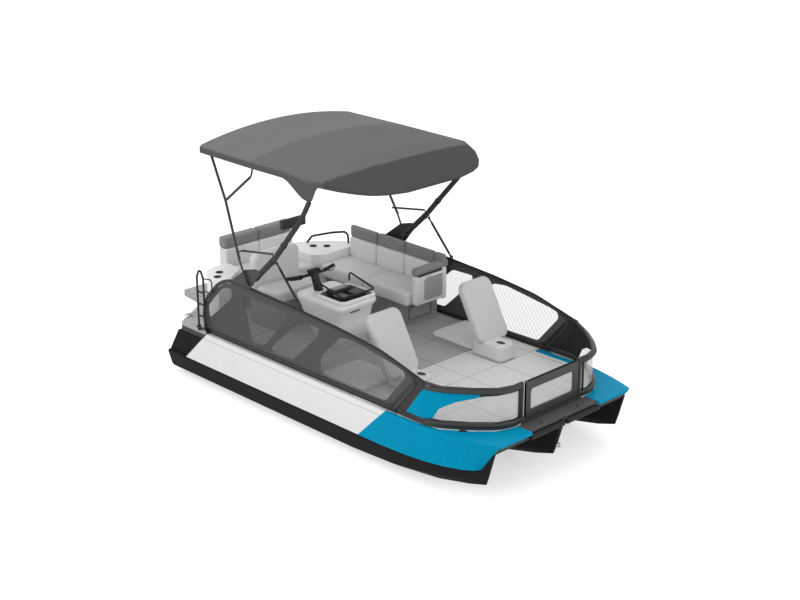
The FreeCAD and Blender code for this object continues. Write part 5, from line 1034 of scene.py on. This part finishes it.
# ---- Rail beads: a black nylon bead pressed along the outer edge of each fence rail, where
# the cloth is pulled into it ----
BEAD_SEAT, BEAD_RADIUS, BEAD_BEND = 0.0215, 0.0085, 0.105
BEAD_SET_IN = 0.004
bead_parts = []
for side, _ in SIDES:
    corners = [(x, side * (FENCE_Y - BEAD_SET_IN), z)
               for x, z in set_in(FENCE_LINE, -BEAD_SEAT)[:-1]]
    bead_parts.append(bar(rounded_path(corners, BEAD_BEND), BEAD_RADIUS, 12))
rail_beads = joined_piece("fence_rail_beads", bead_parts, [black_trim])
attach(rail_beads, "hull")

# ---- Rail couplings: black moulded sleeves that join each fence rail to the bow rail and to
# its feet, and end stiles that close the bow screens beside the gate posts ----
join_parts = []
for side, _ in SIDES:
    y = side * FENCE_Y
    join_parts.append(bar(rounded_path([(1.700, y, 1.120), (1.800, y, 1.088),
                                        (1.905, y, 1.080)], 0.04), 0.0205, 18))
    join_parts.append(bar([(2.540, side * 0.474, 0.700), (2.540, side * 0.474, 1.050)],
                          0.011, 12))
    for x in (-1.455, 1.500):
        join_parts.append(bar([(x - 0.030, y, 0.678), (x + 0.030, y, 0.678)], 0.0215))
couplings = joined_piece("rail_couplings", join_parts, [black_trim])
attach(couplings, "hull")

# ---- Bimini sleeves: woven dark sleeves pulled over the main bow's legs and held by three
# black strap collars each ----
SLEEVE_LINE = np.array([(-0.610, 1.110, 1.471), (-0.285, 1.110, 1.771), (-0.095, 1.120, 1.990),
                        (0.190, 1.140, 2.314), (0.2545, 1.094, 2.490)])
SLEEVE_RADIUS, SLEEVE_RIPPLE, SLEEVE_TAPER = 0.0315, 0.0010, 0.006
COLLARS = np.array([((-0.330, 1.110, 1.729), (-0.305, 1.110, 1.752)),
                    ((-0.135, 1.118, 1.944), (-0.110, 1.119, 1.972)),
                    ((-0.590, 1.110, 1.489), (-0.565, 1.110, 1.512))])
COLLAR_RADIUS = 0.0345
# Knitted polyester sleeve: near black and dull, slightly puckered along the tube
sleeve_cloth = woven("dark woven tube sleeve", "#363636", "#3E3E3E", 4.0, 0.8)
sleeve_parts = []
for side, _ in SIDES:
    path = rounded_path(SLEEVE_LINE * (1.0, side, 1.0), 0.06)
    reach = np.linspace(0, 1, len(path))
    radius = SLEEVE_RADIUS + SLEEVE_RIPPLE * np.sin(reach * 40.0) - SLEEVE_TAPER * reach
    sleeve_parts.append(bar(path, radius, 20))
    sleeve_parts += [bar(collar * (1.0, side, 1.0), COLLAR_RADIUS, 20, 1) for collar in COLLARS]
tube_sleeves = joined_piece("bimini_tube_sleeves", sleeve_parts, [sleeve_cloth, black_trim])
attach(tube_sleeves, "main_frame")

# ---- Handlebar grips: ribbed black rubber pushed over the bar's ends, with a lever and its
# clamp beside each, and a switch cluster on the middle of the bar ----
BAR_X, BAR_Y, BAR_Z = -0.620, -0.290, 1.328
GRIP_RADIUS, GRIP_RIB, GRIP_RIBS, GRIP_ROWS = 0.0192, 0.0007, 9, 40
grips = []
for side, _ in SIDES:
    bend = np.array([BAR_X, BAR_Y + side * 0.153, BAR_Z])
    tip = np.array([-0.680, BAR_Y + side * 0.340, BAR_Z])
    share = np.linspace(0.38, 0.995, GRIP_ROWS)[:, None]
    ribbed = GRIP_RADIUS + GRIP_RIB * np.cos(np.linspace(0, 2 * np.pi * GRIP_RIBS, GRIP_ROWS))
    grips.append(bar(bend + (tip - bend) * share, ribbed, 18))
    lever = rounded_path([bend + (0.012, side * 0.020, 0.0), bend + (0.052, side * 0.060, -0.004),
                          tip + (0.048, -side * 0.020, -0.006)], 0.03)
    grips.append(bar(lever, 0.0055, 10))
    grips.append(bar([bend + (-0.006, side * 0.010, 0.0), bend + (-0.016, side * 0.045, 0.0)],
                     0.022, 14))
grips.append(stuffed((0.070, 0.150, 0.034), (BAR_X, BAR_Y, 1.343), LEVEL, edge=0.010,
                     corner=0.018, crown=0.003, pull=0.0))
handle_grips = joined_piece("handlebar_grips", grips, [rubber])
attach(handle_grips, "steering")

# ---- Cup liners: dark moulded cups with a low rolled lip, dropped into the two recesses in
# each stern corner ----
CUP_PLACES = ((-1.740, 0.684, 1.1465), (-1.625, 0.795, 1.1465), (-1.785, -0.680, 1.1425),
              (-1.680, -0.790, 1.1425))
CUP_PROFILE = [  # radius and height, up the outside, over the lip and down to the floor
    (0.0350, -0.071), (0.0392, -0.010), (0.0395, 0.000), (0.0440, 0.0015), (0.0440, 0.0035),
    (0.0400, 0.0045), (0.0370, 0.0020), (0.0355, -0.010), (0.0330, -0.066)]
# Moulded nylon: dark grey with a fine grain, so the cup's inside reads as deep shade
tray_moulding = grained("dark grey moulded tray", "#3A3A3B", "#454546", 0.5, 2.0, 0.2)
cup_liners = joined_piece("cup_liners", [ring_stack(centre, CUP_PROFILE, 28)
                                         for centre in CUP_PLACES], [tray_moulding])
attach(cup_liners, "hull")

# ---- Small fittings: latch bars on the fairings, the framed door in the lounge's end, with a
# black ring of painted shadow in the gap round it, the console's pull, a black bar of painted
# shadow under the armrest's roll and two yellow-green seat latches. The latch bars, door
# frame, pull and latches are moulded plastic, screwed or clipped on ----
DOOR_X, DOOR_LOW, DOOR_HIGH = -0.043, (0.590, 0.700), (0.940, 0.850)
fitting_parts = [bar([(2.245, side * 0.985, 0.638), (2.295, side * 0.950, 0.638)], 0.013, 12)
                 for side, _ in SIDES]
# The outer ring, in black, is painted shadow in the gap round the door; the inner one, in the
# base's grey, is its frame
for inset, paint in ((0.0, 0), (0.022, 1)):
    low_y, low_z = np.array(DOOR_LOW) + inset
    high_y, high_z = np.array(DOOR_HIGH) - inset
    door_line = rounded_loop([(low_y, low_z), (high_y, low_z), (high_y, high_z),
                              (low_y, high_z)], 0.030, 6)
    around = np.c_[np.full(len(door_line) + 1, DOOR_X), np.r_[door_line, door_line[:1]]]
    fitting_parts.append(bar(around, 0.0035, 8, paint))
fitting_parts.append(bar([(0.014, -0.330, 1.058), (0.014, -0.210, 1.058)], 0.009, 10))
# A black bar under the armrest's roll: painted shadow, not a real part
fitting_parts.append(bar([(0.100, 0.600, 1.252), (0.100, 1.020, 1.258)], 0.013, 12))
for latch_at in ((-0.393, 0.574, 0.680), (-1.294, -0.604, 0.805)):
    fitting_parts.append(bar([latch_at, np.array(latch_at) + (0.030, 0.0, 0.0)], 0.011, 12, 2))
# Acetal: a small spot of clear yellow-green with a soft gloss
latch_acetal = grained("yellow-green latch plastic", "#A9B04A", "#9AA23E", 0.4, 2.0, 0.05)
fittings = joined_piece("small_fittings", fitting_parts,
                        [black_trim, base_moulding, latch_acetal])
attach(fittings, "hull")

# ---- Armrest grab bar: a short anodised aluminium rod screwed across the armrest panel,
# just under its roll ----
# Pale anodising: almost white, with a soft metallic highlight
bar_finish = grained("pale anodised bar", "#F2F2F2", "#E6E6E6", 0.3, 20.0, 0.02, metallic=0.2)
arm_bar = joined_piece("armrest_grab_bar", [
    bar([(0.131, 0.760, 1.232), (0.131, 0.985, 1.236)], 0.010, 14)], [bar_finish])
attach(arm_bar, "hull")

# ---- Bow rail covers: powder-coated tube sleeves over the top and bottom rails of the bow
# screens, where the screens are clamped ----
cover_parts = []
for side, _ in SIDES:
    plan = rounded_path(BOW_LINE[1:] * (1.0, side), BOW_BEND)
    for height, radius in ((1.034, 0.0215), (0.690, 0.0205)):
        cover_parts.append(bar(np.c_[plan, np.full(len(plan), height)], radius, 18))
rail_covers = joined_piece("bow_rail_covers", cover_parts, [rail_coat])
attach(rail_covers, "hull")

# ---- Corner fillers: a flat black nylon plate in each corner between a side fence and its
# bow screen, screwed to both rails ----
FILLER_LINE = np.array([(1.800, 1.095), (1.930, 1.062), (1.640, 0.664), (1.395, 0.664),
                        (1.412, 0.700), (1.480, 0.735)])
FILLER_HALF = 0.0045
for side, side_name in SIDES:
    filler = flat_piece("corner_filler_" + side_name, [FILLER_LINE], FILLER_HALF,
                        on_fence(side), black_trim)
    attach(filler, "hull")

# ---- Gate: a dark powder-coated surround with a round-cornered window, swinging over an
# extruded threshold plate and its turned-down front edge ----
GATE_X, GATE_HALF = 2.528, 0.0126
GATE_FRAME = [(-0.376, 0.668), (0.397, 0.668), (0.397, 1.052), (-0.376, 1.052)]
GATE_WINDOW = [(-0.308, 0.742), (0.329, 0.742), (0.329, 0.962), (-0.308, 0.962)]


def on_gate(points):
    """Turns (u, v, w) into y and z on the gate's plane, w through it."""
    return np.c_[GATE_X + points[:, 2], points[:, 0], points[:, 1]]


surround = flat_piece("gate_surround", [rounded_loop(GATE_FRAME, 0.02),
                                        rounded_loop(GATE_WINDOW, 0.035)], GATE_HALF, on_gate,
                      rail_coat)
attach(surround, "bow_gate")
threshold = joined_piece("gate_threshold", [
    plan_strip([(2.510, -0.450), (2.510, 0.450)], (-0.0360, 0.0360), DECK_TOP, 0.6600),
    plan_strip([(2.549, -0.450), (2.549, 0.450)], (-0.0022, 0.0022), 0.6330, 0.6600)],
    [trim_coat], smooth=False)
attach(threshold, "hull")

# ---- Block recesses: a pale rolled rim moulded into each bow seat block near its inner front
# corner, round a flat black oval of painted shade where the recess is ----
RECESS = (1.335, 0.590, 0.8300)
RECESS_HALF_X, RECESS_HALF_Y, RIM_RADIUS = 0.062, 0.042, 0.0070
oval = np.linspace(0, 2 * np.pi, 33)
recess_parts = []
for side, _ in SIDES:
    centre = np.array(RECESS) * (1.0, side, 1.0)
    rim = centre + np.c_[RECESS_HALF_X * np.cos(oval), RECESS_HALF_Y * np.sin(oval), 0 * oval]
    recess_parts.append(bar(rim, RIM_RADIUS, 10))
    # A thin flat black oval on the block's top paints the shade of the recess, which is not cut
    recess_parts.append(stuffed((0.118, 0.078, 0.007), centre - (0, 0, 0.0035), LEVEL, 1,
                                edge=0.002, corner=0.037, crown=0.0, pull=0.0))
block_recesses = joined_piece("block_recesses", recess_parts, [block_moulding, black_trim])
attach(block_recesses, "hull")

# ---- Strut covers: black nylon tubes slid over the two front struts, so that they don't
# scratch the main bow as it folds ----
strut_covers = joined_piece("strut_covers", [
    bar([(-0.205, side * 1.110, 1.686), (0.072, side * 1.110, 1.392)], 0.0135, 14)
    for side, _ in SIDES], [black_trim])
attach(strut_covers, "struts")

# ---- Aft pole covers: coated outer tubes over the aft bow's poles and branch hoop, which
# telescope on them and give them their full thickness ----
POLE_FOOT, POLE_KNEE = (-0.803, 1.160, 1.650), (-1.087, 1.092, 2.222)
POLE_TOP, BRANCH_TOP = (-1.363, 1.053, 2.683), (-0.700, 1.066, 2.547)
pole_covers = joined_piece("aft_pole_covers", [
    bar(np.array(line) * (1.0, side, 1.0), 0.0145, 14) for side, _ in SIDES
    for line in ((POLE_FOOT, POLE_KNEE, POLE_TOP), (POLE_KNEE, BRANCH_TOP))], [rail_coat])
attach(pole_covers, "aft_frame")
